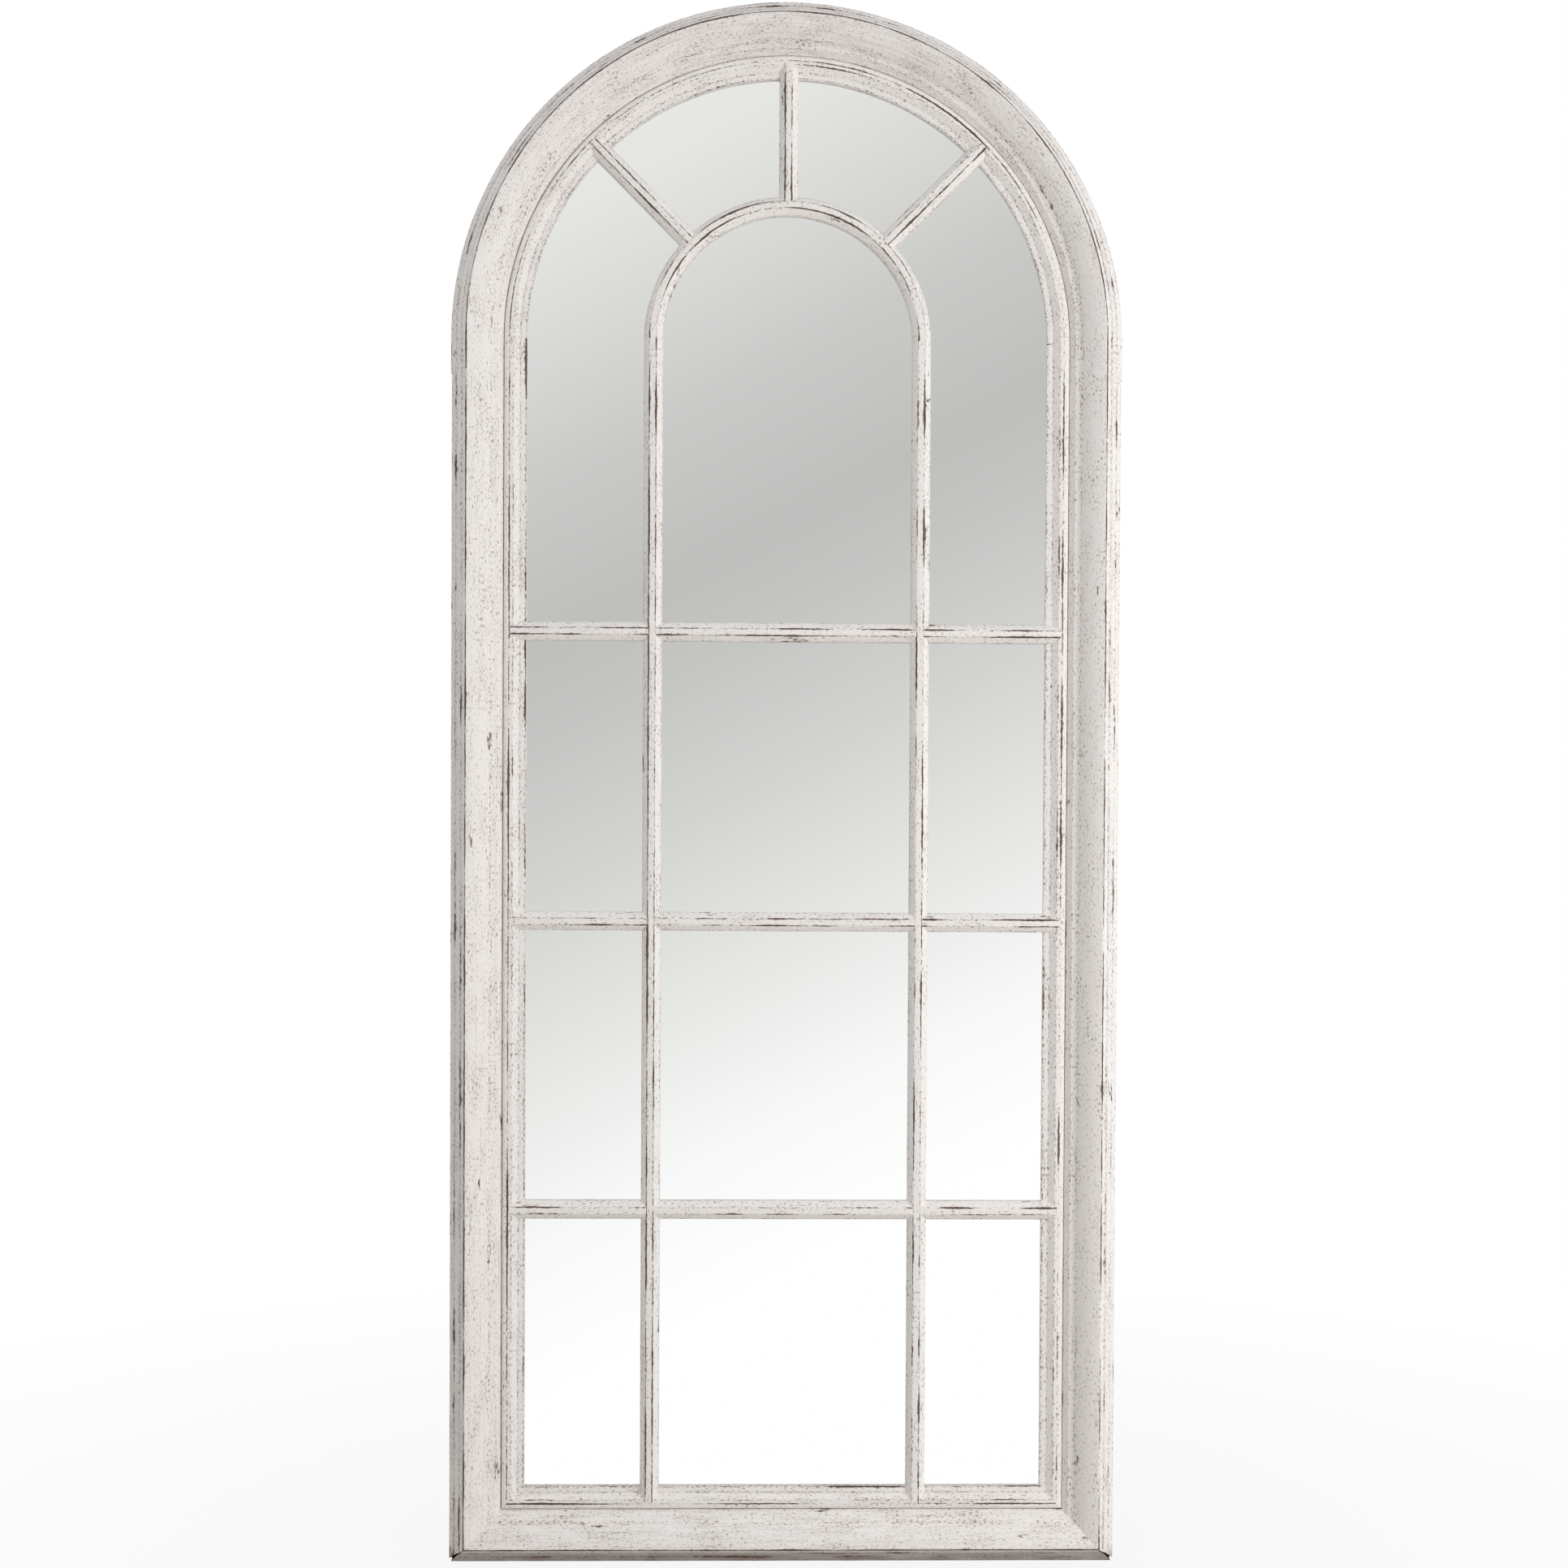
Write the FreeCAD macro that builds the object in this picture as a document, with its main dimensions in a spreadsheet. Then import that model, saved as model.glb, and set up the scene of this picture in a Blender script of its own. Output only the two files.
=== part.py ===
import FreeCAD, Part

import math
import os

import Sketcher
from FreeCAD import Placement, Rotation, Vector

# Arched window mirror for a wall: a moulded wooden frame with a round head, a beaded
# sash with glazing bars set inside it, one sheet of mirror glass behind the bars, and
# a backing board.  Millimetres, +Z up, +X to the right of someone who looks at the
# glass, front towards -Y.  The origin is the middle of the whole object's footprint.
#
# Sections are drawn with two measures: "in" runs from the outer edge of the frame
# towards the glass, and "rise" runs from the back of the frame towards the viewer.

os.makedirs("parts", exist_ok=True)
doc = FreeCAD.newDocument("ArchedWindowMirror")
sheet = doc.addObject("Spreadsheet::Sheet", "Sizes")

SIZES = (
    # outline
    ("arch_radius", 350.0, "radius of the arch, which is half the width"),
    ("spring_height", 1280.0, "arch centre above the bottom edge"),
    ("arch_leg", 38.0, "straight foot of each arch head"),
    # section of the outer moulding
    ("edge_rise", 16.0, "height of the flat outer edge"),
    ("band_width", 6.0, "outermost sloping band"),
    ("band_rise", 5.0, "what that band climbs"),
    ("hollow_width", 5.5, "hollow of the outer ogee"),
    ("hollow_rise", 8.5, "what the hollow climbs"),
    ("hollow_curve", 14.0, "radius of the hollow"),
    ("shoulder_width", 7.9, "round of the outer ogee, up to the ridge"),
    ("shoulder_rise", 10.5, "what the round climbs"),
    ("shoulder_curve", 26.0, "radius of the round"),
    ("cyma_width", 23.6, "long round from the ridge inwards"),
    ("cyma_drop", 15.7, "what the long round falls"),
    ("cyma_curve", 48.0, "radius of the long round"),
    ("tail_width", 6.5, "short hollow that ends the long round"),
    ("tail_drop", 3.5, "what the short hollow falls"),
    ("tail_curve", 11.0, "radius of the short hollow"),
    ("reveal_width", 5.4, "slope from the lip down to the sash"),
    ("reveal_drop", 7.7, "what that slope falls"),
    ("sash_rebate", 10.0, "how far the sash tucks under the lip"),
    # section of the sash
    ("sash_gap", 0.5, "play round the sash in its rebate"),
    ("bead_round", 3.2, "outer round of the bead"),
    ("bead_rise", 4.4, "what the bead climbs"),
    ("bead_curve", 4.5, "radius of that round"),
    ("bead_flat", 7.0, "flat top of the bead"),
    ("bead_slope", 6.4, "inner slope of the bead"),
    ("bead_fall", 5.5, "what that slope falls"),
    ("sight_flat", 7.0, "flat next to the glass"),
    ("glass_rebate", 12.0, "how far the sash covers the glass"),
    # glazing bars
    ("bar_half_flat", 4.0, "half the flat top of a bar"),
    ("bar_slope", 6.0, "sloping shoulder of a bar"),
    ("bar_proud", 0.8, "how far bars stand above the bead"),
    ("bar_lap", 16.0, "how far bar ends lap onto the sash"),
    ("mullion_offset", 140.0, "mullion centre line from the middle, and inner arch radius"),
    ("transom_height", 370.0, "centre line of the lowest transom"),
    ("transom_pitch", 303.0, "from one transom to the next"),
    ("spoke_angle", 45.0, "side spokes from the vertical, in degrees"),
    # glass and board
    ("board_recess", 2.5, "backing board's back in from the frame's back"),
    ("board_thickness", 3.0, "backing board"),
    ("board_lap", 9.5, "how far the board covers the sash beyond the glass rebate"),
    ("glass_thickness", 3.0, "mirror glass"),
    ("glass_gap", 1.0, "play round the glass"),
    # screws and dowels
    ("screw_radius", 1.5, "wood screws in sash and board"),
    ("screw_head", 2.8, "radius of their countersunk heads"),
    ("screw_length", 10.0, "length of those screws"),
    ("screw_play", 0.05, "play round a screw or dowel"),
    ("sash_screw_in", 4.0, "screw line in from the sash's outer edge"),
    ("board_screw_in", 4.0, "screw line in from the board's edge"),
    ("screw_pitch", 280.0, "largest step between screws on the straights"),
    ("arch_screw_pitch", 160.0, "largest step between screws round the arch"),
    ("dowel_radius", 3.0, "joint dowels"),
    ("dowel_length", 28.0, "length of a dowel"),
    ("dowel_rise", 10.0, "dowel axis above the frame's back"),
    ("dowel_outer_in", 18.0, "outer dowel from the outer edge"),
    ("dowel_pitch", 14.0, "from the outer dowel to the inner one"),
    # hangers
    ("hanger_in", 22.5, "hanger centre line from the outer edge"),
    ("hanger_height", 1190.0, "hinge axis of the rings above the bottom edge"),
    ("strap_half_width", 7.0, "half the width of the hanger strap"),
    ("strap_thickness", 1.2, "sheet of the strap"),
    ("strap_length", 48.0, "hinge axis to the strap's end"),
    ("strap_screw_drop", 26.0, "hinge axis to the upper strap screw"),
    ("strap_screw_pitch", 14.0, "from one strap screw to the other"),
    ("ring_wire", 1.75, "radius of the ring's wire"),
    ("ring_play", 0.1, "play round the wire in its knuckle"),
    ("ring_half_width", 12.0, "half the ring's width, on the wire's centre line"),
    ("ring_corner", 3.0, "bend between the ring's bar and its legs"),
    ("ring_leg", 2.0, "straight leg of the ring"),
    ("pan_radius", 3.3, "head of a strap screw"),
    ("pan_height", 1.8, "height of that head"),
    ("strap_screw_radius", 1.75, "strap screw"),
    ("strap_screw_length", 14.0, "strap screw under its head"),
    # bumpers
    ("bumper_radius", 8.0, "rubber bumper"),
    ("bumper_play", 0.4, "how far bumpers stand out past the knuckles"),
    ("bumper_edge", 1.0, "chamfer of a bumper"),
    ("bumper_in", 22.0, "bumper centre from the outer edge"),
    ("bumper_height", 34.0, "bumper centre above the bottom edge"),
)

for row, (alias, number, meaning) in enumerate(SIZES, start=1):
    sheet.set(f"A{row}", meaning)
    sheet.set(f"B{row}", str(number))
    sheet.setAlias(f"B{row}", alias)
doc.recompute()


def size(sum_of_sizes):
    """The value of a sum such as "lip + reveal - gap", read from the sheet."""
    value, sign = 0.0, 1.0
    for word in sum_of_sizes.split():
        if word in ("+", "-"):
            sign = 1.0 if word == "+" else -1.0
        else:
            value += sign * float(sheet.get(word))
    return value


def formula(sum_of_sizes):
    """The same sum, as an expression that follows the sheet."""
    words = sum_of_sizes.split()
    return " ".join(word if word in ("+", "-") else f"Sizes.{word}" for word in words)


def less(whole, part):
    """The sum for whole less part."""
    if not part:
        return whole
    swapped = {"+": "-", "-": "+"}
    return f"{whole} - " + " ".join(swapped.get(word, word) for word in part.split())


# Corners of the sections: how far in, and how high.
BAND_IN = "band_width"
HOLLOW_IN = BAND_IN + " + hollow_width"
RIDGE_IN = HOLLOW_IN + " + shoulder_width"
CYMA_IN = RIDGE_IN + " + cyma_width"
LIP_IN = CYMA_IN + " + tail_width"
CREVICE_IN = LIP_IN + " + reveal_width"
REBATE_IN = CREVICE_IN + " - sash_rebate"
SASH_IN = REBATE_IN + " + sash_gap"
BEAD_IN = CREVICE_IN + " + bead_round"
BEAD_END_IN = BEAD_IN + " + bead_flat"
FLAT_IN = BEAD_END_IN + " + bead_slope"
SIGHT_IN = FLAT_IN + " + sight_flat"
GLASS_REBATE_IN = SIGHT_IN + " - glass_rebate"
GLASS_IN = GLASS_REBATE_IN + " + glass_gap"
BOARD_IN = GLASS_REBATE_IN + " - board_lap"
NOSE_IN = SIGHT_IN + " - bar_lap"

BAND_TOP = "edge_rise + band_rise"
HOLLOW_TOP = BAND_TOP + " + hollow_rise"
RIDGE_TOP = HOLLOW_TOP + " + shoulder_rise"
CYMA_END = RIDGE_TOP + " - cyma_drop"
LIP_TOP = CYMA_END + " - tail_drop"
SEAT_RISE = LIP_TOP + " - reveal_drop"
BEAD_TOP = SEAT_RISE + " + bead_rise"
FLAT_TOP = BEAD_TOP + " - bead_fall"
BAR_TOP = BEAD_TOP + " + bar_proud"
GLASS_BACK = "board_recess + board_thickness"
GLASS_FRONT = GLASS_BACK + " + glass_thickness"
BAR_HALF = "bar_half_flat + bar_slope"

KNUCKLE = "ring_wire + ring_play + strap_thickness"
BUMPER = f"{KNUCKLE} + {KNUCKLE} + bumper_play"
BACK_Y = (size(RIDGE_TOP) - size(BUMPER)) / 2
BACK_Y_FORMULA = f"({formula(RIDGE_TOP)} - ({formula(BUMPER)})) / 2"


# ---------------------------------------------------------------- sketch helpers

def origin_plane(body, role):
    """One of a body's own base planes or axes."""
    return next(item for item in body.Origin.OriginFeatures if item.Role == role)


def new_body(name):
    """An empty body."""
    return doc.addObject("PartDesign::Body", name)


def new_sketch(body, name, role):
    """An empty sketch on one of a body's base planes."""
    sketch = body.newObject("Sketcher::SketchObject", name)
    sketch.AttachmentSupport = [(origin_plane(body, role), "")]
    sketch.MapMode = "FlatFace"
    return sketch


def arc_between(start, end, radius, turn):
    """Minor arc from start to end.  turn is 1 for one that bulges to the right."""
    chord = end - start
    middle = (start + end) * 0.5
    across = Vector(-chord.y, chord.x, 0).normalize()
    reach = math.sqrt(max(radius ** 2 - (chord.Length / 2) ** 2, 0.0))
    centre = middle + across * reach * turn
    begin = math.atan2(start.y - centre.y, start.x - centre.x)
    finish = math.atan2(end.y - centre.y, end.x - centre.x)
    circle = Part.Circle(centre, Vector(0, 0, 1), radius)
    if turn > 0:
        return Part.ArcOfCircle(circle, begin, finish), 1, 2
    return Part.ArcOfCircle(circle, finish, begin), 2, 1


def closed_outline(sketch, corners):
    """Draw a closed outline and bind it to the sheet.

    Each corner is (x, y) or (x, y, radius, turn), all but turn given as sums of
    sizes.  The last two make the side that leads to the corner an arc.
    """
    points = [Vector(size(corner[0]), size(corner[1]), 0) for corner in corners]
    ends = []
    for index, corner in enumerate(corners):
        start, end = points[index - 1], points[index]
        first, last = 1, 2
        side = Part.LineSegment(start, end)
        if len(corner) > 2:
            side, first, last = arc_between(start, end, size(corner[2]), corner[3])
        sketch.addGeometry(side, False)
        ends.append((first, last))
    for index, corner in enumerate(corners):
        last = ends[index][1]
        following = (index + 1) % len(corners)
        joint = Sketcher.Constraint("Coincident", index, last, following, ends[following][0])
        sketch.addConstraint(joint)
        for kind, terms, at in (("DistanceX", corner[0], points[index].x),
                                ("DistanceY", corner[1], points[index].y)):
            bind(sketch, Sketcher.Constraint(kind, -1, 1, index, last, at), terms)
        if len(corner) > 2:
            bind(sketch, Sketcher.Constraint("Radius", index, size(corner[2])), corner[2])


def bind(sketch, constraint, terms):
    """Add a constraint whose value follows the sheet."""
    number = sketch.addConstraint(constraint)
    if terms:
        sketch.setExpression(f"Constraints[{number}]", formula(terms))


def circle_at(sketch, x, y, radius):
    """Draw a circle bound to the sheet."""
    centre = Vector(size(x), size(y), 0)
    index = sketch.addGeometry(Part.Circle(centre, Vector(0, 0, 1), size(radius)), False)
    bind(sketch, Sketcher.Constraint("DistanceX", -1, 1, index, 3, centre.x), x)
    bind(sketch, Sketcher.Constraint("DistanceY", -1, 1, index, 3, centre.y), y)
    bind(sketch, Sketcher.Constraint("Radius", index, size(radius)), radius)


def pad(body, sketch, length, symmetric=False, reverse=False):
    """Draw a sketch out by a length that follows the sheet."""
    feature = body.newObject("PartDesign::Pad", body.Name + "_pad")
    feature.Profile = sketch
    feature.SideType = "Symmetric" if symmetric else "One side"
    feature.Reversed = reverse
    feature.setExpression("Length", formula(length))
    doc.recompute()
    return feature


def pocket_through(body, sketch):
    """Cut right through the body, both ways from the sketch."""
    before = body.Shape.Volume
    feature = body.newObject("PartDesign::Pocket", body.Name + "_pocket")
    feature.Profile = sketch
    feature.SideType = "Symmetric"
    feature.Type = "ThroughAll"
    doc.recompute()
    assert body.Shape.Volume < before, body.Name + ": the pocket cuts nothing"
    return feature


def revolve(body, sketch, degrees):
    """Turn a section about the body's own Y axis, the axis of the arch."""
    feature = body.newObject("PartDesign::Revolution", body.Name + "_turn")
    feature.Profile = sketch
    feature.ReferenceAxis = (origin_plane(body, "Y_Axis"), [""])
    feature.Angle = degrees
    doc.recompute()
    return feature


def place(item, rotation, x="", z="", y=BACK_Y, y_formula=BACK_Y_FORMULA):
    """Put a body in the frame, with its place bound to the sheet."""
    item.Placement = Placement(Vector(size(x), y, size(z)), rotation)
    if x:
        item.setExpression("Placement.Base.x", formula(x))
    if z:
        item.setExpression("Placement.Base.z", formula(z))
    item.setExpression("Placement.Base.y", y_formula)


# ---------------------------------------------------------------- sections

def from_axis(inset):
    """Distance from the arch's axis, or from the middle plane, of an inset."""
    return less("arch_radius", inset)


MOULDING = (
    (from_axis(""), ""),
    (from_axis(""), "edge_rise"),
    (from_axis(BAND_IN), BAND_TOP),
    (from_axis(HOLLOW_IN), HOLLOW_TOP, "hollow_curve", -1),
    (from_axis(RIDGE_IN), RIDGE_TOP, "shoulder_curve", 1),
    (from_axis(CYMA_IN), CYMA_END, "cyma_curve", 1),
    (from_axis(LIP_IN), LIP_TOP, "tail_curve", -1),
    (from_axis(CREVICE_IN), SEAT_RISE),
    (from_axis(REBATE_IN), SEAT_RISE),
    (from_axis(REBATE_IN), ""),
)

SASH = (
    (from_axis(SASH_IN), GLASS_BACK),
    (from_axis(SASH_IN), SEAT_RISE),
    (from_axis(CREVICE_IN), SEAT_RISE),
    (from_axis(BEAD_IN), BEAD_TOP, "bead_curve", 1),
    (from_axis(BEAD_END_IN), BEAD_TOP),
    (from_axis(FLAT_IN), FLAT_TOP),
    (from_axis(SIGHT_IN), FLAT_TOP),
    (from_axis(SIGHT_IN), GLASS_FRONT),
    (from_axis(GLASS_REBATE_IN), GLASS_FRONT),
    (from_axis(GLASS_REBATE_IN), GLASS_BACK),
)


def bar_section(centre):
    """Section of a glazing bar whose middle lies at centre."""
    return (
        (less(centre, BAR_HALF), GLASS_FRONT),
        (f"{centre} + {BAR_HALF}", GLASS_FRONT),
        (f"{centre} + {BAR_HALF}", FLAT_TOP),
        (f"{centre} + bar_half_flat", BAR_TOP),
        (less(centre, "bar_half_flat"), BAR_TOP),
        (less(centre, BAR_HALF), FLAT_TOP),
    )


def arched_outline(sketch, half, foot, spring, way=1):
    """Draw a panel with one round end: way is 1 for a round top, -1 for a round foot."""
    centre = Vector(0, size(spring), 0)
    near, far = (less("", half), half) if way > 0 else (half, less("", half))
    corners = ((near, spring), (near, foot), (far, foot), (far, spring))
    points = [Vector(size(x), size(y), 0) for x, y in corners]
    for start, end in zip(points, points[1:]):
        sketch.addGeometry(Part.LineSegment(start, end), False)
    begin = 0.0 if way > 0 else math.pi
    circle = Part.Circle(centre, Vector(0, 0, 1), size(half))
    arc = sketch.addGeometry(Part.ArcOfCircle(circle, begin, begin + math.pi), False)
    for index in range(arc + 1):
        following = (index + 1) % (arc + 1)
        sketch.addConstraint(Sketcher.Constraint("Coincident", index, 2, following, 1))
    for index, ((x, y), point) in enumerate(zip(corners, points)):
        bind(sketch, Sketcher.Constraint("DistanceX", -1, 1, index, 1, point.x), x)
        bind(sketch, Sketcher.Constraint("DistanceY", -1, 1, index, 1, point.y), y)
    bind(sketch, Sketcher.Constraint("DistanceY", -1, 1, arc, 3, centre.y), spring)


# ---------------------------------------------------------------- frame and sash

RIGHT_SIDE = Rotation(Vector(1, 0, 0), 180)
BOTTOM = Rotation(Vector(0, 0, -1), Vector(0, -1, 0), Vector(-1, 0, 0), "XYZ")
UPWARDS = Rotation(Vector(0, 0, 1), 180)
SIDEWAYS = Rotation(Vector(0, 0, 1), Vector(0, -1, 0), Vector(1, 0, 0), "XYZ")
MITRE_REACH = SIGHT_IN + " + bar_lap"

nodes = {}


def finish(name, item):
    """Name a finished piece; its label is the name of its node."""
    item.Label = name
    nodes[name] = item
    return item


def reflection(name, source):
    """The left-hand reflection of a solid on the right."""
    twin = doc.addObject("Part::Mirroring", name)
    twin.Source = source
    twin.Normal = Vector(1, 0, 0)
    return twin


def mirrored(name, source):
    """The left twin of a finished piece on the right."""
    return finish(name, reflection(name, source))


def cut(name, base, tools):
    """A piece with bores or copes cut into it."""
    piece = doc.addObject("Part::Cut", name)
    piece.Base = base
    piece.Tool = tools
    return piece


def grouped(name, items):
    """Several pieces used together as one cutting tool."""
    group = doc.addObject("Part::Compound", name)
    group.Links = list(items)
    return group


def mitre(body, corner, way=1):
    """Cut one end at 45 degrees, from the outer corner of the frame inwards."""
    far = corner if way > 0 else less("", corner)
    near = less(far, MITRE_REACH) if way > 0 else f"{far} + {MITRE_REACH}"
    inner = less("arch_radius", MITRE_REACH)
    sketch = new_sketch(body, f"{body.Name}_mitre_{'far' if way > 0 else 'near'}", "XZ_Plane")
    closed_outline(sketch, (("arch_radius", far), (inner, far), (inner, near)))
    pocket_through(body, sketch)


def side_member(name, section, top):
    """Right-hand upright of a section, from top down to the mitred bottom corner."""
    body = new_body(name)
    sketch = new_sketch(body, name + "_section", "XY_Plane")
    closed_outline(sketch, section)
    pad(body, sketch, top)
    mitre(body, top)
    place(body, RIGHT_SIDE, z=top)
    return body


def bottom_member(name, section):
    """Bottom rail of a section, mitred at both ends."""
    body = new_body(name)
    sketch = new_sketch(body, name + "_section", "XY_Plane")
    closed_outline(sketch, section)
    pad(body, sketch, "arch_radius + arch_radius", symmetric=True)
    mitre(body, "arch_radius")
    mitre(body, "arch_radius", way=-1)
    place(body, BOTTOM, z="arch_radius")
    return body


def arch_member(name, section, degrees, leg=""):
    """Curved piece from the right-hand spring line upwards, with a leg below it."""
    body = new_body(name)
    sketch = new_sketch(body, name + "_section", "XY_Plane")
    closed_outline(sketch, section)
    revolve(body, sketch, degrees)
    if leg:
        pad(body, sketch, leg)
    place(body, RIGHT_SIDE, z="spring_height")
    return body


# ---------------------------------------------------------------- screws and dowels

FRONT = Vector(0, -1, 0)


def at_inset(x, inset_z, rise):
    """A point of the frame from its place across, its height and its rise."""
    return Vector(x, BACK_Y - rise, inset_z)


def points_along(inset, rise):
    """Evenly spaced screw places along a line that runs all round at one inset."""
    half = size("arch_radius") - size(inset)
    foot, spring = size(inset), size("spring_height")
    pitch = size("screw_pitch")
    places = []
    across = math.ceil(2 * half / pitch)
    for step in range(across):
        places.append((-half + (step + 0.5) * 2 * half / across, foot))
    upwards = math.ceil((spring - foot) / pitch)
    for step in range(upwards):
        height = foot + (step + 0.5) * (spring - foot) / upwards
        places += [(-half, height), (half, height)]
    around = math.ceil(math.pi * half / size("arch_screw_pitch"))
    for step in range(around):
        angle = math.pi * (step + 0.5) / around
        places.append((half * math.cos(angle), spring + half * math.sin(angle)))
    return [at_inset(x, z, rise) for x, z in places]


def countersunk(point, play=0.0):
    """Wood screw with its head flush at the point and its shank to the front."""
    shank, head = size("screw_radius"), size("screw_head")
    cone = Part.makeCone(head + play, shank + play, head - shank, point, FRONT)
    stem = Part.makeCylinder(shank + play, size("screw_length") + play, point, FRONT)
    return cone.fuse(stem).removeSplitter()


def pan_screw(point, play=0.0):
    """Strap screw whose head sits on the strap at the point."""
    stem_radius = size("strap_screw_radius") + play
    stem = Part.makeCylinder(stem_radius, size("strap_screw_length") + play, point, FRONT)
    head = Part.makeCylinder(size("pan_radius"), size("pan_height"), point, FRONT * -1)
    return head.fuse(stem).removeSplitter()


def dowel(middle, direction, play=0.0):
    """Round dowel centred on a joint."""
    length = size("dowel_length")
    start = middle - direction * (length / 2)
    return Part.makeCylinder(size("dowel_radius") + play, length, start, direction)


def dowel_joints():
    """Where the dowels lie: at both mitres, below the spring line and at the crown."""
    outer, rise = size("arch_radius"), size("dowel_rise")
    seam = size("spring_height - arch_leg")
    crown = size("spring_height + arch_radius")
    for inset in (size("dowel_outer_in"), size("dowel_outer_in + dowel_pitch")):
        for side in (-1, 1):
            across = side * (outer - inset)
            yield at_inset(across, inset, rise), Vector(side, 0, 1).normalize()
            yield at_inset(across, seam, rise), Vector(0, 0, 1)
        yield at_inset(0, crown - inset, rise), Vector(1, 0, 0)


def strap_screw_places():
    """Screw places on the outer face of both straps."""
    across = size("arch_radius - hanger_in")
    upper = size("hanger_height - strap_screw_drop")
    for side in (-1, 1):
        for height in (upper, upper - size("strap_screw_pitch")):
            yield Vector(side * across, BACK_Y + size("strap_thickness"), height)


def solids(name, shapes):
    """A group of loose solids kept as one object."""
    group = doc.addObject("Part::Feature", name)
    group.Shape = Part.makeCompound(list(shapes))
    return group


PLAY = size("screw_play")
SASH_SCREWS = points_along(SASH_IN + " + sash_screw_in", size(GLASS_BACK))
BOARD_SCREWS = points_along(BOARD_IN + " + board_screw_in", size("board_recess"))

finish("sash_screws", solids("sash_screws", [countersunk(spot) for spot in SASH_SCREWS]))
finish("board_screws", solids("board_screws", [countersunk(spot) for spot in BOARD_SCREWS]))
finish("hanger_screws",
       solids("hanger_screws", [pan_screw(spot) for spot in strap_screw_places()]))
finish("frame_dowels", solids("frame_dowels", [dowel(*joint) for joint in dowel_joints()]))

sash_bores = [countersunk(spot, PLAY) for spot in SASH_SCREWS]
board_bores = [countersunk(spot, PLAY) for spot in BOARD_SCREWS]
strap_bores = [pan_screw(spot, PLAY) for spot in strap_screw_places()]
dowel_bores = [dowel(*joint, PLAY) for joint in dowel_joints()]

frame_tools = solids("frame_tools", sash_bores + strap_bores + dowel_bores)
sash_tools = solids("sash_tools", sash_bores + board_bores)
board_tools = solids("board_tools", board_bores)

# ---------------------------------------------------------------- outer moulding

STILE_TOP = "spring_height - arch_leg"

for name, blank in (
    ("bottom_rail", bottom_member("bottom_rail_blank", MOULDING)),
    ("right_stile", side_member("right_stile_blank", MOULDING, STILE_TOP)),
    ("arch_head_right", arch_member("arch_head_blank", MOULDING, 90, "arch_leg")),
):
    finish(name, cut(name, blank, frame_tools))
mirrored("left_stile", nodes["right_stile"])
mirrored("arch_head_left", nodes["arch_head_right"])

# ---------------------------------------------------------------- sash

sash_rail_blank = bottom_member("sash_rail_blank", SASH)
sash_stile_blank = side_member("sash_stile_blank", SASH, "spring_height")
sash_arch_blank = arch_member("sash_arch_blank", SASH, 90)

for name, blank in (
    ("sash_bottom_rail", sash_rail_blank),
    ("sash_stile_right", sash_stile_blank),
    ("sash_arch_right", sash_arch_blank),
):
    finish(name, cut(name, blank, sash_tools))
mirrored("sash_stile_left", nodes["sash_stile_right"])
mirrored("sash_arch_left", nodes["sash_arch_right"])


# ---------------------------------------------------------------- glazing bars

SPOKE_LENGTH = less(less("arch_radius", NOSE_IN), "mullion_offset")


def straight_bar(name, rotation, length, start="", height="spring_height", centre=""):
    """Blank of a bar that runs along the body's own Z axis from start."""
    body = new_body(name)
    sketch = new_sketch(body, name + "_section", "XY_Plane")
    closed_outline(sketch, bar_section(centre))
    if start:
        sketch.AttachmentOffset = Placement(Vector(0, 0, size(start)), Rotation())
        sketch.setExpression("AttachmentOffset.Base.z", formula(start))
    pad(body, sketch, length, symmetric=not start and not centre)
    place(body, rotation, z=height)
    return body


# Each mullion runs in one length from the sash rail up to the inner arch.  Bars are
# scribed over the sash as it is before its screw holes are bored.
mullion_blank = straight_bar("mullion_blank", RIGHT_SIDE, less("spring_height", NOSE_IN),
                             centre="mullion_offset")
finish("mullion_right", cut("mullion_right", mullion_blank, sash_rail_blank))
mirrored("mullion_left", nodes["mullion_right"])

inner_arch = arch_member("inner_arch", bar_section("mullion_offset"), 180)
finish("inner_arch", inner_arch)

# The spokes are coped over the inner arch and over the bead of the sash.
sash_arch_twin = reflection("sash_arch_twin", sash_arch_blank)
spoke_seats = grouped("spoke_seats", [inner_arch, sash_arch_blank, sash_arch_twin])
for name, side in (("spoke_centre", 0), ("spoke_right", 1)):
    lean = Rotation(Vector(0, 1, 0), side * size("spoke_angle"))
    blank = straight_bar(name + "_blank", lean * UPWARDS, SPOKE_LENGTH, "mullion_offset")
    finish(name, cut(name, blank, spoke_seats))
mirrored("spoke_left", nodes["spoke_right"])

# The transoms are short lengths, coped between the mullions and out to the sash.
both_mullions = grouped("both_mullions", [nodes["mullion_left"], nodes["mullion_right"]])
transom_seats = grouped("transom_seats", [nodes["mullion_right"], sash_stile_blank])
row_height = "transom_height"
for row in ("low", "mid", "high"):
    name = f"transom_{row}_centre"
    blank = straight_bar(name + "_blank", SIDEWAYS, "mullion_offset + mullion_offset",
                         height=row_height)
    finish(name, cut(name, blank, both_mullions))
    name = f"transom_{row}_right"
    blank = straight_bar(name + "_blank", SIDEWAYS, SPOKE_LENGTH, "mullion_offset",
                         height=row_height)
    finish(name, cut(name, blank, transom_seats))
    mirrored(f"transom_{row}_left", nodes[name])
    row_height += " + transom_pitch"

# ---------------------------------------------------------------- glass and board


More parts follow.
